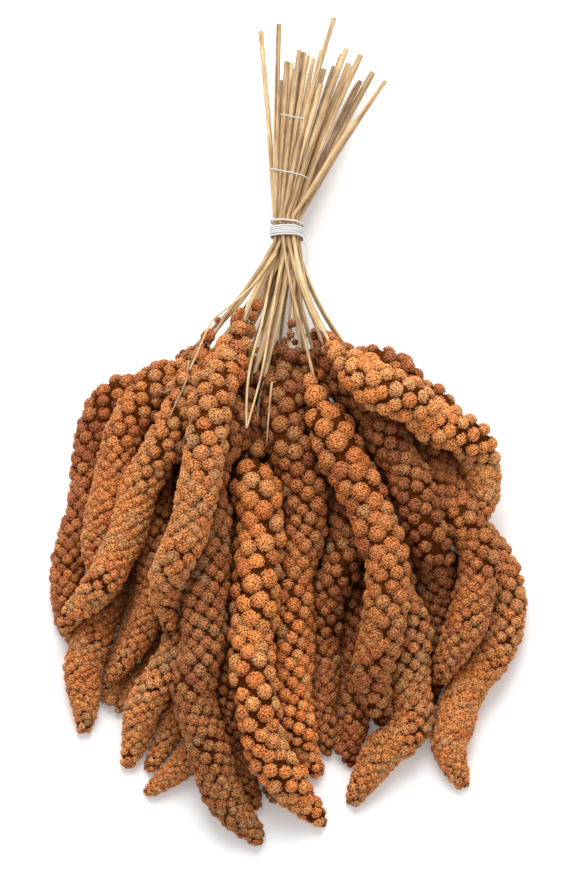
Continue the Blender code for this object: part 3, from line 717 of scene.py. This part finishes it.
def head_lobes(full, spine, line, look, rng):
    """Lobes round a head, each turned from the last by the golden angle, out to the head's surface."""
    smooth_from, smooth_to, smoothness, tone, lobe_share, bright, bright_tip = look
    length = length_of(spine)
    places = np.linspace(0, length, len(spine))
    sides, ups = frames_along(spine)
    lobes = Lobes()
    place = FIRST_LOBE
    turn = rng.uniform(0, math.tau)
    while place < length - LAST_LOBE:
        share = place / length
        smooth = smoothness * float(smooth_step((share - smooth_from) / (smooth_to - smooth_from)))
        size = full * lobe_share * (1 - LOBE_SHRINK * share) * (1 - (1 - SMOOTH_SIZE) * smooth)
        at = min(max(place + rng.uniform(-LOBE_SWAY, LOBE_SWAY) * size, 0), length)
        outer = float(head_radius(full, at, length))
        size = min(size, max(NECK_LOBE * outer, SMALLEST_NECK_LOBE))
        radius = size * rng.uniform(1 - LOBE_UNEVEN, 1 + LOBE_UNEVEN)
        depth = rng.uniform(-OUT_OF_LINE, LOBE_DEPTH) * outer * (1 - SMOOTH_EVEN * smooth)
        angle = turn + rng.uniform(-LOBE_SWAY, LOBE_SWAY) * size / max(outer - size, size)
        centre, side, up = (along(values, places, at) for values in (spine, sides, ups))
        outward = math.cos(angle) * side + math.sin(angle) * up
        outward /= np.linalg.norm(outward)
        # The head's brightness from stalk to tip is painted light and shade.
        lobe_tone, light = lobe_look(tone, bright + (bright_tip - bright) * share, share, rng)
        reach = max(outer - depth - radius, LEAST_OFF_LINE * radius)
        lobes.add(centre + outward * reach, outward, radius, lobe_tone, light)
        spacing = size * (LOBE_SPACING * (1 - smooth) + SMOOTH_SPACING * smooth)
        place += CLOSE_PACKED * spacing**2 / (math.tau * max(outer - size, LEAST_ROUND * size))
        turn += GOLDEN
    fill_bare_spots(lobes, full, spine, look, rng)
    end = spine[-1] - spine[-2]
    end /= np.linalg.norm(end)
    tip = TIP_LOBE * full
    lobes.add(spine[-1] - end * tip, end, tip, tone - TIP_TONE, bright_tip)
    add_strays(lobes, line, full * lobe_share, (tone, bright), rng)
    return lobes


def fill_bare_spots(lobes, full, spine, look, rng):
    """Smaller lobes where the others leave a head bare."""
    tone, lobe_share, bright, bright_tip = look[3:]
    length = length_of(spine)
    places = np.linspace(0, length, len(spine))
    sides, ups = frames_along(spine)
    turn = rng.uniform(0, math.tau)
    for at in np.arange(FILL_STEP, length - LAST_LOBE, FILL_STEP):
        share = at / length
        outer = float(head_radius(full, at, length))
        size = min(FILL_SIZE * full * lobe_share * (1 - LOBE_SHRINK * share), NECK_LOBE * outer)
        centre, side, up = (along(values, places, at) for values in (spine, sides, ups))
        outward = math.cos(turn) * side + math.sin(turn) * up
        outward /= np.linalg.norm(outward)
        point = centre + outward * max(FILL_REACH * outer - size, LEAST_OFF_LINE * size)
        turn += GOLDEN
        free = np.linalg.norm(np.array(lobes.centres) - point, axis=1) - np.array(lobes.radii)
        if free.min() > FILL_GAP * size:
            light = bright + (bright_tip - bright) * share
            lobes.add(point, outward, size, *lobe_look(tone, light, share, rng))


def add_strays(lobes, line, full_size, look, rng):
    """Clusters on the stalk just before the head, smaller further off. The line's end is in the head."""
    stalk = line[:-2][::-1]
    gone = np.concatenate([[0], np.cumsum(np.linalg.norm(np.diff(stalk, axis=0), axis=1))])
    for k in range(rng.randint(*STRAYS)):
        share = rng.random()**STRAY_BEND
        place = STRAY_REACH * share
        point = along(stalk, gone, place)
        heading = along(stalk, gone, place + 1) - point
        heading /= np.linalg.norm(heading)
        out = np.array([rng.gauss(0, 1), rng.gauss(0, 1), rng.gauss(STRAY_LIFT, 1)])
        out -= heading * out.dot(heading)
        out /= np.linalg.norm(out)
        first, last = STRAY_SIZES
        size = full_size * (first + (last - first) * share) * rng.uniform(*STRAY_UNEVEN)
        centre = point + out * (STALK_RADIUS + STRAY_OFF * size)
        lobes.add(centre, out, size, *lobe_look(*look, 0, rng))


def add_gap_lobes(every, spines, rng):
    """Low lobes in the gaps, each on the head nearest to it."""
    for route in GAPS:
        for x, y in spaced_along(route, round(length_of(np.array(route)) / GAP_STEP)):
            x += rng.uniform(-GAP_SWAY, GAP_SWAY)
            centre = np.array([x, y, GAP_HEIGHT + rng.uniform(-GAP_SWAY, GAP_SWAY)])
            apart = np.linalg.norm(spines - centre, axis=2).min(axis=1)
            near = int(apart.argmin())
            size = GAP_LOBE * rng.uniform(1 - GAP_UNEVEN, 1 + GAP_UNEVEN)
            look = lobe_look(LOOKS[near][3], LOOKS[near][5], 0, rng)
            every[near].add(centre, np.array([0.0, 0.0, 1.0]), size, *look)


def sphere_points(count):
    """Points spread evenly over a sphere."""
    k = np.arange(count)
    z = 1 - (2 * k + 1) / count
    angle = k * GOLDEN
    across = np.sqrt(1 - z * z)
    return np.stack([across * np.cos(angle), across * np.sin(angle), z], axis=1)


def open_sky(lobes, own, spines, radii):
    """For each lobe of a head, which upper directions no other head is in the way of."""
    sky = sphere_points(2 * SKY_DIRECTIONS)[:SKY_DIRECTIONS]
    others = np.arange(len(spines)) != own
    spheres = spines[others].reshape(-1, 3)
    reach = (SKY_REACH * radii[others].reshape(-1))**2
    starts = lobes.centres + lobes.outwards * lobes.radii[:, None]
    apart = spheres[None] - starts[:, None]
    square = (apart**2).sum(axis=2)
    free = np.zeros((len(starts), SKY_DIRECTIONS), bool)
    for k, way in enumerate(sky):
        ahead = apart @ way
        hit = (ahead > 0) & (square - ahead**2 < reach[None])
        free[:, k] = ~hit.any(axis=1)
    return sky, free


def random_turn(rng):
    """A random rotation matrix."""
    parts = rng.normal(size=4)
    w, x, y, z = parts / np.linalg.norm(parts)
    return np.array([
        [1 - 2 * (y * y + z * z), 2 * (x * y - w * z), 2 * (x * z + w * y)],
        [2 * (x * y + w * z), 1 - 2 * (x * x + z * z), 2 * (y * z - w * x)],
        [2 * (x * z - w * y), 2 * (y * z + w * x), 1 - 2 * (x * x + y * y)],
    ])


def seeds_on(lobes, core, sky, free, all_centres, all_radii, rng):
    """The seeds that show on a head's lobes: places, directions and looks."""
    places, ways, looks = [], [], []
    for centre, outward, radius, look, seen in zip(
        lobes.centres, lobes.outwards, lobes.radii, lobes.looks, free
    ):
        if not seen.any():
            continue
        count = round(4 * math.pi * radius**2 / (CLOSE_PACKED * SEED_PITCH**2))
        ways_here = sphere_points(count) @ random_turn(rng)
        ways_here += rng.normal(0, SEED_SWAY * SEED_PITCH / radius, ways_here.shape)
        ways_here /= np.linalg.norm(ways_here, axis=1)[:, None]
        ways_here = ways_here[ways_here @ outward > SEED_CAP]
        ways_here = ways_here[(ways_here @ sky[seen].T > LEAST_TURN).sum(axis=1) >= LEAST_SKY]
        points = centre + radius * ways_here
        apart = np.linalg.norm(all_centres - centre, axis=1)
        near = (apart < all_radii + radius) & (apart > 1e-6)
        to_others = np.linalg.norm(points[:, None] - all_centres[near][None], axis=2)
        inside = to_others < all_radii[near] - SEED_INSIDE
        deep = np.linalg.norm(points[:, None] - core[0][None], axis=2) < core[1]
        keep = ~inside.any(axis=1) & ~deep.any(axis=1) & (points[:, 2] > SEED_LOWEST)
        places.append(points[keep])
        ways.append(ways_here[keep])
        # Towards a lobe's edge the seeds get painted shade and a paler tone, partly for the pale bristles
        # and partly as a painted sheen; its middle gets painted light.
        edge = 1 - ways_here[keep] @ outward
        tones = look[0] + rng.normal(0, SEED_TONE_NOISE, keep.sum()) - EDGE_DUST_AND_SHEEN * edge
        shade = EDGE_PAINTED_LIGHT - EDGE_PAINTED_SHADE * edge**EDGE_BEND
        lights = look[1] * (1 + rng.normal(0, SEED_LIGHT_NOISE, keep.sum())) * shade
        # Painted shade: the less open sky a lobe has, the darker its seeds.
        lights *= 1 - SKY_PAINTED_SHADE * (1 - seen.mean())
        looks.append(np.stack([tones, lights], axis=1))
    return np.vstack(places), np.vstack(ways), np.vstack(looks)


def cross_ways(ways):
    """Two directions across each given one."""
    helper = np.where(np.abs(ways[:, 2:3]) < 0.9, (0.0, 0.0, 1.0), (1.0, 0.0, 0.0))
    first = np.cross(ways, helper)
    first /= np.linalg.norm(first, axis=1)[:, None]
    return first, np.cross(ways, first)


class Surface:
    """Vertices, triangles, normals and looks of one mesh, gathered block by block."""

    def __init__(self):
        self.points, self.faces, self.normals, self.looks, self.slots = [], [], [], [], []
        self.count = 0

    def add(self, points, faces, normals, looks, slot):
        self.points.append(points)
        self.faces.append(faces + self.count)
        self.normals.append(normals)
        self.looks.append(looks)
        self.slots.append(np.full(len(faces), slot))
        self.count += len(points)

    def add_copies(self, points, faces, normals, looks, slot):
        """Adds one small shape many times. Each of its points comes with its place in every copy."""
        starts = len(points) * np.arange(len(points[0]))[:, None, None]
        faces = np.array(faces)[None] + starts
        points = np.stack(points, axis=1).reshape(-1, 3)
        normals = np.stack(normals, axis=1).reshape(-1, 3)
        self.add(points, faces.reshape(-1, 3), normals, looks, slot)

    def piece(self, name, origin, materials):
        """Makes the piece, which rides on the one body."""
        points = np.vstack(self.points)
        points[:, 2] = np.maximum(points[:, 2], LEAST_HEIGHT)
        faces = np.vstack(self.faces)
        mesh = bpy.data.meshes.new(name)
        mesh.vertices.add(len(points))
        mesh.vertices.foreach_set("co", (points * MM + origin).ravel())
        mesh.loops.add(faces.size)
        mesh.loops.foreach_set("vertex_index", faces.ravel().astype(np.int32))
        mesh.polygons.add(len(faces))
        mesh.polygons.foreach_set("loop_start", np.arange(0, faces.size, 3, dtype=np.int32))
        mesh.polygons.foreach_set("material_index", np.concatenate(self.slots).astype(np.int32))
        mesh.update(calc_edges=True)
        mesh.shade_smooth()
        mesh.normals_split_custom_set_from_vertices(np.vstack(self.normals))
        look = mesh.attributes.new("look", "FLOAT_VECTOR", "POINT")
        look.data.foreach_set("vector", np.vstack(self.looks).ravel())
        for material in materials:
            mesh.materials.append(material)
        made = bpy.data.objects.new(name, mesh)
        bpy.context.scene.collection.objects.link(made)
        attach(made, "root")
        return made


def add_seeds(surface, places, ways, looks, rng):
    """A small dome for each seed: its top, and a ring of points below it."""
    count = len(places)
    size = SEED_SIZE * SEED_PITCH * (1 + rng.uniform(-SEED_UNEVEN, SEED_UNEVEN, count))[:, None]
    first, second = cross_ways(ways)
    phase = rng.uniform(0, math.tau, count)
    points = [places + ways * (SEED_HEIGHT * size - SEED_SINK)]
    normals = [ways]
    for k in range(SEED_SIDES):
        angle = (phase + math.tau * k / SEED_SIDES)[:, None]
        out = np.cos(angle) * first + np.sin(angle) * second
        points.append(places + out * size - ways * SEED_SINK)
        tilted = ways + RIM_TILT * out
        normals.append(tilted / np.linalg.norm(tilted, axis=1)[:, None])
    ring = SEED_SIDES + 1
    faces = [(0, 1 + k, 1 + (k + 1) % SEED_SIDES) for k in range(SEED_SIDES)]
    # The top, where the material paints each seed's highlight, and the rim, where it paints shade.
    tops = np.zeros((count, ring))
    tops[:, 0] = 1
    tones = np.repeat(looks[:, 0], ring)
    lights = np.repeat(looks[:, 1], ring)
    surface.add_copies(points, faces, normals, np.stack([tones, tops.ravel(), lights], axis=1), 0)


def add_lobe_beds(surface, lobes):
    """A coarse dome under the seeds of each lobe."""
    first, second = cross_ways(lobes.outwards)
    radii = (lobes.radii - LOBE_UNDER)[:, None]
    points = [lobes.centres + lobes.outwards * radii]
    normals = [lobes.outwards]
    for ring, degrees in enumerate(LOBE_RINGS):
        polar = math.radians(degrees)
        for k in range(LOBE_SIDES):
            angle = math.tau * (k + 0.5 * ring) / LOBE_SIDES
            out = math.cos(angle) * first + math.sin(angle) * second
            way = math.cos(polar) * lobes.outwards + math.sin(polar) * out
            points.append(lobes.centres + way * radii)
            normals.append(way)
    faces = []
    for k in range(LOBE_SIDES):
        nxt = (k + 1) % LOBE_SIDES
        faces.append((0, 1 + k, 1 + nxt))
        faces.append((1 + k, 1 + LOBE_SIDES + k, 1 + nxt))
        faces.append((1 + nxt, 1 + LOBE_SIDES + k, 1 + LOBE_SIDES + nxt))
    looks = np.stack([lobes.looks[:, 0], np.ones(len(lobes.radii)), lobes.looks[:, 1]], axis=1)
    surface.add_copies(points, faces, normals, np.repeat(looks, len(points), axis=0), 1)


def tube(line, radii, sides):
    """Points, triangles and normals of a tube along a line, with its ends closed."""
    across, ups = frames_along(line)
    rings = len(line)
    angle = np.linspace(0, math.tau, sides, endpoint=False)
    out = np.cos(angle)[None, :, None] * across[:, None] + np.sin(angle)[None, :, None] * ups[:, None]
    radii = np.broadcast_to(np.asarray(radii, float).reshape(rings, -1), (rings, sides))
    points = line[:, None] + out * radii[..., None]
    ring, k = np.meshgrid(np.arange(rings - 1), np.arange(sides), indexing="ij")
    a = ring * sides + k
    b = ring * sides + (k + 1) % sides
    c, d = b + sides, a + sides
    faces = np.stack([np.stack([a, b, c], -1), np.stack([a, c, d], -1)], axis=2).reshape(-1, 3)
    ends = np.vstack([line[:1], line[-1:]])
    close = []
    for k in range(sides):
        close.append((rings * sides, (k + 1) % sides, k))
        last = (rings - 1) * sides
        close.append((rings * sides + 1, last + k, last + (k + 1) % sides))
    heading = np.stack([line[0] - line[1], line[-1] - line[-2]])
    heading /= np.linalg.norm(heading, axis=1)[:, None]
    points = np.vstack([points.reshape(-1, 3), ends])
    return points, np.vstack([faces, close]), np.vstack([out.reshape(-1, 3), heading])


def core_of(full, spine):
    """Points along a head's middle line, and the radius of its core at each."""
    length = length_of(spine)
    places = np.linspace(0, length, CORE_POINTS)
    grown = CORE_AT_STALK + (1 - CORE_AT_STALK) * smooth_step(places / CORE_GROWS)
    line = along(spine, np.linspace(0, length, len(spine)), places)
    return line, CORE_SHARE * grown * head_radius(full, places, length)


def add_core(surface, line, radii):
    """The head's inside, which shows at the bottom of the gaps between lobes, dark there with painted
    shade.
    """
    points, faces, normals = tube(line[::CORE_RING], radii[::CORE_RING], CORE_SIDES)
    surface.add(points, faces, normals, np.full((len(points), 3), CORE_SHADED_LOOK), 1)


class Shading:
    """A new material and its nodes, with short ways to add to them."""

    def __init__(self, name):
        self.material = bpy.data.materials.new(name)
        self.material.use_nodes = True
        self.nodes = self.material.node_tree.nodes
        self.links = self.material.node_tree.links
        self.shader = self.nodes["Principled BSDF"]

    def put(self, owner, name, value):
        """Sets a node's input to a value, or links another node's output to it."""
        if isinstance(value, bpy.types.NodeSocket):
            self.links.new(value, owner.inputs[name])
        else:
            owner.inputs[name].default_value = value

    def node(self, kind, **values):
        """A node. Names with an underscore in front set its properties, the others its inputs."""
        made = self.nodes.new("ShaderNode" + kind)
        for name, value in values.items():
            if name.startswith("_"):
                setattr(made, name[1:], value)
            else:
                self.put(made, name.replace("_", " "), value)
        return made

    def mesh_look(self):
        """What the mesh gives at each point."""
        return self.node("Attribute", _attribute_name="look").outputs["Vector"]

    def place(self):
        return self.node("TexCoord").outputs["Object"]

    def noise(self, place, scale, detail):
        made = self.node("TexNoise", Vector=place, Scale=scale, Detail=detail, Roughness=0.6)
        return made.outputs["Fac"]

    def maths(self, operation, *values):
        made = self.node("Math", _operation=operation)
        for k, value in enumerate(values):
            self.put(made, k, value)
        return made.outputs["Value"]

    def ramp(self, factor, stops):
        made = self.node("ValToRGB", Fac=factor)
        elements = made.color_ramp.elements
        while len(elements) < len(stops):
            elements.new(1.0)
        for element, (place, colour) in zip(elements, stops):
            element.position = place
            element.color = (*colour, 1)
        return made.outputs["Color"]

    def bump(self, height, strength, distance, invert=False):
        made = self.node("Bump", Strength=strength, Distance=distance, Height=height, _invert=invert)
        self.put(self.shader, "Normal", made.outputs["Normal"])

    def finish(self, **values):
        """Sets the shader's own inputs and gives the material."""
        for name, value in values.items():
            self.put(self.shader, name.replace("_", " "), value)
        return self.material


def millet_colour(shading, parts, place, shade):
    """The mesh's tone with soft patches over it, times its painted light and shade and its brightness,
    which holds painted shade too.
    """
    patches = shading.maths("SUBTRACT", shading.noise(place, PATCH_SCALE, 2.0), 0.5)
    tone = shading.maths("ADD", parts["X"], shading.maths("MULTIPLY", patches, PATCH_TONE))
    shaded = shading.node("VectorMath", _operation="MULTIPLY")
    shading.put(shaded, 0, shading.ramp(tone, MILLET_TONES))
    shading.put(shaded, 1, shade)
    lit = shading.node("VectorMath", _operation="SCALE", Vector=shaded.outputs["Vector"], Scale=parts["Z"])
    return lit.outputs["Vector"]


def seed_material():
    """Seeds with a painted highlight on their round tops and painted shade at their rims. The mesh gives
    (tone, how near the top, brightness).
    """
    shading = Shading("millet_seed")
    parts = shading.node("SeparateXYZ", Vector=shading.mesh_look()).outputs
    place = shading.place()
    colour = millet_colour(shading, parts, place, shading.ramp(parts["Y"], SEED_PAINTED_LIGHT))
    grain = shading.noise(place, GRAIN_SCALE, 3.0)
    shading.bump(grain, 0.25, 0.0002)
    rough = shading.maths("MULTIPLY_ADD", grain, *ROUGHNESS)
    return shading.finish(Base_Color=colour, Roughness=rough, Specular_IOR_Level=0.5)


def bed_material():
    """The lobes under the seeds, with seeds as pattern where no seed of its own lies, each with painted
    light in its middle and painted shade at its edge.
    """
    shading = Shading("millet_bed")
    parts = shading.node("SeparateXYZ", Vector=shading.mesh_look()).outputs
    place = shading.place()
    cells = shading.node("TexVoronoi", Vector=place, Scale=1 / (SEED_PITCH * MM)).outputs["Distance"]
    colour = millet_colour(shading, parts, place, shading.ramp(cells, BED_PAINTED_LIGHT))
    shading.bump(cells, 0.8, 0.0006, True)
    return shading.finish(Base_Color=colour, Roughness=0.7, Specular_IOR_Level=0.0)


def straw_material(name):
    """Dry straw with streaks along the stalk. The mesh gives (around x, around z, along)."""
    shading = Shading(name)
    stretch = shading.node("Mapping", Vector=shading.mesh_look(), Scale=(1.0, 1.0, STREAK_STRETCH))
    streaks = shading.noise(stretch.outputs["Vector"], STREAK_SCALE, 4.0)
    patches = shading.noise(shading.place(), STRAW_PATCH_SCALE, 3.0)
    tone = shading.maths("ADD", streaks, shading.maths("MULTIPLY", patches, STRAW_PATCH_TONE))
    colour = shading.ramp(tone, list(zip(STRAW_STOPS, STRAWS[name])))
    shading.bump(streaks, 0.7, 0.0003)
    rough = shading.maths("MULTIPLY_ADD", streaks, *ROUGHNESS)
    return shading.finish(Base_Color=colour, Roughness=rough, Specular_IOR_Level=0.4)


def cotton_material():
    """White cotton thread with a twist."""
    shading = Shading("cotton")
    wave = shading.node("TexWave", Vector=shading.mesh_look(), Scale=1.2, Distortion=1.0)
    strands = wave.outputs["Fac"]
    shading.bump(strands, 0.6, 0.0002)
    return shading.finish(Base_Color=shading.ramp(strands, COTTON_SHADES), Roughness=0.85)


def make_heads(spines, radii, lines, origin):
    rng = random.Random(SEED)
    draws = np.random.default_rng(SEED)
    materials = [seed_material(), bed_material()]
    every = []
    for head, spine, line, look in zip(HEADS, spines, lines, LOOKS):
        every.append(head_lobes(head[0], spine, line, look, rng))
    add_gap_lobes(every, spines, rng)
    for lobes in every:
        lobes.finish()
    centres = np.vstack([lobes.centres for lobes in every])
    sizes = np.concatenate([lobes.radii for lobes in every])
    for h, lobes in enumerate(every):
        surface = Surface()
        sky, free = open_sky(lobes, h, spines, radii)
        core = core_of(HEADS[h][0], spines[h])
        places, ways, looks = seeds_on(lobes, core, sky, free, centres, sizes, draws)
        add_seeds(surface, places, ways, looks, draws)
        add_lobe_beds(surface, lobes)
        add_core(surface, *core)
        made = surface.piece(f"millet_head_{h + 1:02d}", origin, materials)
        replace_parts(made, f"seed_head_{h + 1:02d}")


def add_straw(surface, line, radii, sides, slot, rng):
    """A dry straw along a line: a little flattened, and turning slowly."""
    gone = np.linspace(0, length_of(line), len(line))
    angle = np.linspace(0, math.tau, sides, endpoint=False)
    turned = angle[None] - rng.uniform(0, math.tau) - STRAW_TWIST * gone[:, None]
    shape = 1 - STRAW_FLAT * np.cos(turned)**2
    points, faces, normals = tube(line, radii[:, None] * shape, sides)
    shift = rng.uniform(0, 100)
    angle = np.tile(angle, len(line))
    look = np.stack([np.cos(angle) + shift, np.sin(angle), np.repeat(gone, sides)], axis=1)
    surface.add(points, faces, normals, np.vstack([look, look[:1], look[-1:]]), slot)


def add_strips(surface, line, rng):
    """Thin dry leaf strips that wind along a stalk and pass under the thread at the tie."""
    gone = np.linspace(0, length_of(line), len(line))
    across, ups = frames_along(line)
    for k in range(STRIPS):
        length = rng.uniform(*STRIP_LENGTHS)
        first = rng.uniform(-STRIP_ENDS[0], max(gone[-1] - length - STRIP_ENDS[1], 0))
        part = (gone >= first) & (gone <= first + length)
        if part.sum() < STRIP_POINTS:
            continue
        angle = (rng.uniform(0, math.tau) + STRIP_WIND * rng.normal() * gone[part])[:, None]
        way = np.cos(angle) * across[part] + np.sin(angle) * ups[part]
        risen = smooth_step((np.abs(line[part, 1]) - STRIP_RISES[0]) / STRIP_RISES[1])
        clear = STRIP_AT_TIE + (1 - STRIP_AT_TIE) * risen
        size = rng.uniform(*STRIP_RADII)
        out = stalk_radius(line[part, 1]) * clear
        strip = line[part] + way * (out + STRIP_OUT * size * clear)[:, None]
        ends = np.minimum(gone[part] - gone[part][0], gone[part][-1] - gone[part])
        grown = STRIP_TIP + (1 - STRIP_TIP) * smooth_step(ends / STRIP_TAPER)
        radii = size * grown * np.minimum(clear + STRIP_THICKER, 1)
        add_straw(surface, strip, radii, STRIP_SIDES, int(rng.choice(3, p=STRIP_KINDS)), rng)


def make_stalks(lines, origin):
    rng = np.random.default_rng(SEED + 1)
    straws = [straw_material(name) for name in STRAWS]
    for h, line in enumerate(lines):
        smooth = spaced_along(line, max(LEAST_POINTS, round(length_of(line) / STALK_RING)))
        radii = stalk_radius(smooth[:, 1]) * (1 + rng.normal(0, STALK_UNEVEN, len(smooth)))
        surface = Surface()
        kind = 2 if h in DARK_STALKS else int(rng.choice(3, p=STALK_KINDS))
        add_straw(surface, smooth, radii, STALK_SIDES, kind, rng)
        add_strips(surface, smooth, rng)
        made = surface.piece(f"straw_stalk_{h + 1:02d}", origin, straws)
        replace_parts(made, f"stalk_{h + 1:02d}")


def tie_point(angle, out):
    """A point of the line round all the stalks at the tie, so far out from them: (x, z)."""
    places = slots()
    way = np.array([math.cos(angle), math.sin(angle)])
    furthest = places[(places @ way).argmax()]
    return furthest + way * (STALK_RADIUS + out) + (0, TIE_HEIGHT)


def thread_piece(name, line, radius, origin, cotton):
    line = np.array(line)
    smooth = spaced_along(line, len(line) * 2)
    gone = np.linspace(0, length_of(smooth), len(smooth))
    points, faces, normals = tube(smooth, np.full(len(smooth), radius), THREAD_SIDES)
    angle = np.tile(np.linspace(0, math.tau, THREAD_SIDES, endpoint=False), len(smooth))
    wound = np.repeat(gone, THREAD_SIDES) + angle / math.tau * THREAD_TWIST
    look = np.stack([wound, angle * 0, angle * 0], axis=1)
    look = np.vstack([look, look[:1], look[-1:]])
    surface = Surface()
    surface.add(points, faces, normals, look, 0)
    return surface.piece(name, origin, [cotton])


def top_of_stalks(lines, x, y):
    """How high the uppermost stalk reaches at a place."""
    top = 0.0
    for line in lines:
        order = np.argsort(line[:, 1])
        if not line[:, 1].min() < y < line[:, 1].max():
            continue
        cx, cz = (np.interp(y, line[order, 1], line[order, k]) for k in (0, 2))
        radius = float(stalk_radius(y)) + LAID_MARGIN
        if abs(cx - x) < radius:
            top = max(top, cz + math.sqrt(radius**2 - (cx - x)**2))
    return top


def laid_thread(lines, start, end):
    """A thread laid over the stalks from one place to another, seen from above."""
    line = []
    for k in range(LAID_STEPS):
        t = k / (LAID_STEPS - 1)
        x, y = (a + (b - a) * t for a, b in zip(start, end))
        line.append([x, y, top_of_stalks(lines, x, y)])
    line = np.array(line)
    line[:, 2] = np.maximum(line[:, 2], line[:, 2].max() - LAID_SAG)
    for _ in range(LAID_ROUNDS):
        line[1:-1, 2] = np.maximum(line[1:-1, 2], (line[:-2, 2] + line[2:, 2]) / 2)
    line[[0, -1], 2] -= LAID_TUCK
    return line + (0, 0, LAID_RADIUS)


def make_tie(lines, origin):
    cotton = cotton_material()
    rng = random.Random(SEED)
    half = TURNS * TURN_WIDTH / 2
    out = THREAD_CLEAR + THREAD_RADIUS
    line = []
    for k in range(TURNS * THREAD_STEPS):
        turn = k / THREAD_STEPS
        x, z = tie_point(math.tau * turn + BAND_STARTS, out + rng.uniform(0, THREAD_UNEVEN))
        y = -half + TURN_WIDTH * (turn * (TURNS - BAND_SHORT) / TURNS + 0.5)
        line.append((x, y + BAND_WAVE[0] * math.sin(BAND_WAVE[1] * turn), z))
    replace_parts(thread_piece("thread_band", line, THREAD_RADIUS, origin, cotton), "tie_band")
    line = []
    for k in range(THREAD_STEPS + 1):
        angle = math.tau * k / THREAD_STEPS
        x, z = tie_point(angle, out)
        line.append((x, THREAD_PLACE - THREAD_TILT * x, z))
    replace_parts(thread_piece("thread_turn", line, THREAD_RADIUS, origin, cotton), "tie_thread")
    thread_piece("thread_tail", THREAD_TAIL, LAID_RADIUS, origin, cotton)
    for number, (start, end) in enumerate(LAID_THREADS, 1):
        line = laid_thread(lines, start, end)
        thread_piece(f"thread_laid_{number}", line, LAID_RADIUS, origin, cotton)


def top_of_heads(spines, radii, x, y):
    """How high the uppermost head reaches at a place."""
    apart = (spines[..., 0] - x)**2 + (spines[..., 1] - y)**2
    inside = apart < radii**2
    return float((spines[..., 2] + np.sqrt(np.maximum(radii**2 - apart, 0)))[inside].max(initial=0))


def make_twigs(spines, radii, lines, origin):
    """Loose straws and thin twigs that lie on the heads."""
    rng = np.random.default_rng(SEED + 2)
    for number, (size, kind, route) in enumerate(TWIGS, 1):
        count = max(LEAST_POINTS, round(length_of(np.array(route)) / TWIG_STEP))
        flat = spaced_along(route, count)
        tops = [max(top_of_heads(spines, radii, x, y), top_of_stalks(lines, x, y)) for x, y in flat]
        line = np.column_stack([flat, tops])
        for _ in range(TAUT_ROUNDS):
            line[1:-1, 2] = np.maximum(line[1:-1, 2], (line[:-2, 2] + line[2:, 2]) / 2)
        line[:, 2] += size
        surface = Surface()
        taper = size * np.linspace(1, TWIG_TAPER, len(line))
        add_straw(surface, line, taper, STRIP_SIDES, 0, rng)
        surface.piece(f"twig_{number}", origin, [bpy.data.materials[kind]])


def make_floor():
    mesh = bpy.data.meshes.new("floor")
    corners = [(-1, -1), (1, -1), (1, 1), (-1, 1)]
    mesh.from_pydata([(x * FLOOR_REACH, y * FLOOR_REACH, 0) for x, y in corners], [], [(0, 1, 2, 3)])
    floor = bpy.data.objects.new("floor", mesh)
    bpy.context.scene.collection.objects.link(floor)
    mesh.materials.append(Shading("pale_table").finish(
        Base_Color=FLOOR_COLOUR, Emission_Color=WHITE, Emission_Strength=FLOOR_GLOW, Roughness=0.6,
    ))


def make_light():
    world = bpy.data.worlds.new("studio")
    world.use_nodes = True
    sky = world.node_tree.nodes["Background"].inputs
    sky["Color"].default_value = WHITE
    sky["Strength"].default_value = SKY_STRENGTH
    bpy.context.scene.world = world
    light = bpy.data.lights.new("soft_key", "AREA")
    light.shape = "DISK"
    light.size = KEY_SIZE
    light.energy = KEY_POWER
    made = bpy.data.objects.new("soft_key", light)
    made.location = KEY_PLACE
    made.rotation_mode = "QUATERNION"
    made.rotation_quaternion = (Vector(KEY_TARGET) - Vector(KEY_PLACE)).to_track_quat("-Z", "Y")
    bpy.context.scene.collection.objects.link(made)
    bpy.context.scene.view_settings.view_transform = "Standard"


def make_camera(origin):
    """Looks down on the bunch so that the tie's place and its size fall as in the picture."""
    data = bpy.data.cameras.new("camera")
    data.sensor_width = SENSOR
    data.lens = PIXELS * DISTANCE * SENSOR / max(IMAGE)
    data.clip_end = CLIP_END
    elevation = math.radians(ELEVATION)
    right = (IMAGE[0] / 2 - TIE_PIXEL[0]) / PIXELS
    down = (IMAGE[1] / 2 - TIE_PIXEL[1]) / PIXELS / math.sin(elevation)
    target = Vector(origin) + Vector((right, -down, TIE_HEIGHT)) * MM
    back = Vector((0, -math.cos(elevation), math.sin(elevation)))
    camera = bpy.data.objects.new("camera", data)
    camera.location = target + back * DISTANCE * MM
    camera.rotation_mode = "QUATERNION"
    camera.rotation_quaternion = (-back).to_track_quat("-Z", "Y")
    bpy.context.scene.collection.objects.link(camera)
    bpy.context.scene.camera = camera


def main():
    for old in list(bpy.data.objects):
        bpy.data.objects.remove(old)
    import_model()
    low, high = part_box("tie_band")
    middle = (low + high) / 2
    origin = (middle.x, middle.y, 0.0)
    make_camera(origin)
    spines, radii = settled_spines()
    lines = stalk_lines(spines, radii)
    make_heads(spines, radii, lines, origin)
    make_stalks(lines, origin)
    make_tie(lines, origin)
    make_twigs(spines, radii, lines, origin)
    make_floor()
    make_light()
    bpy.context.view_layer.update()


main()
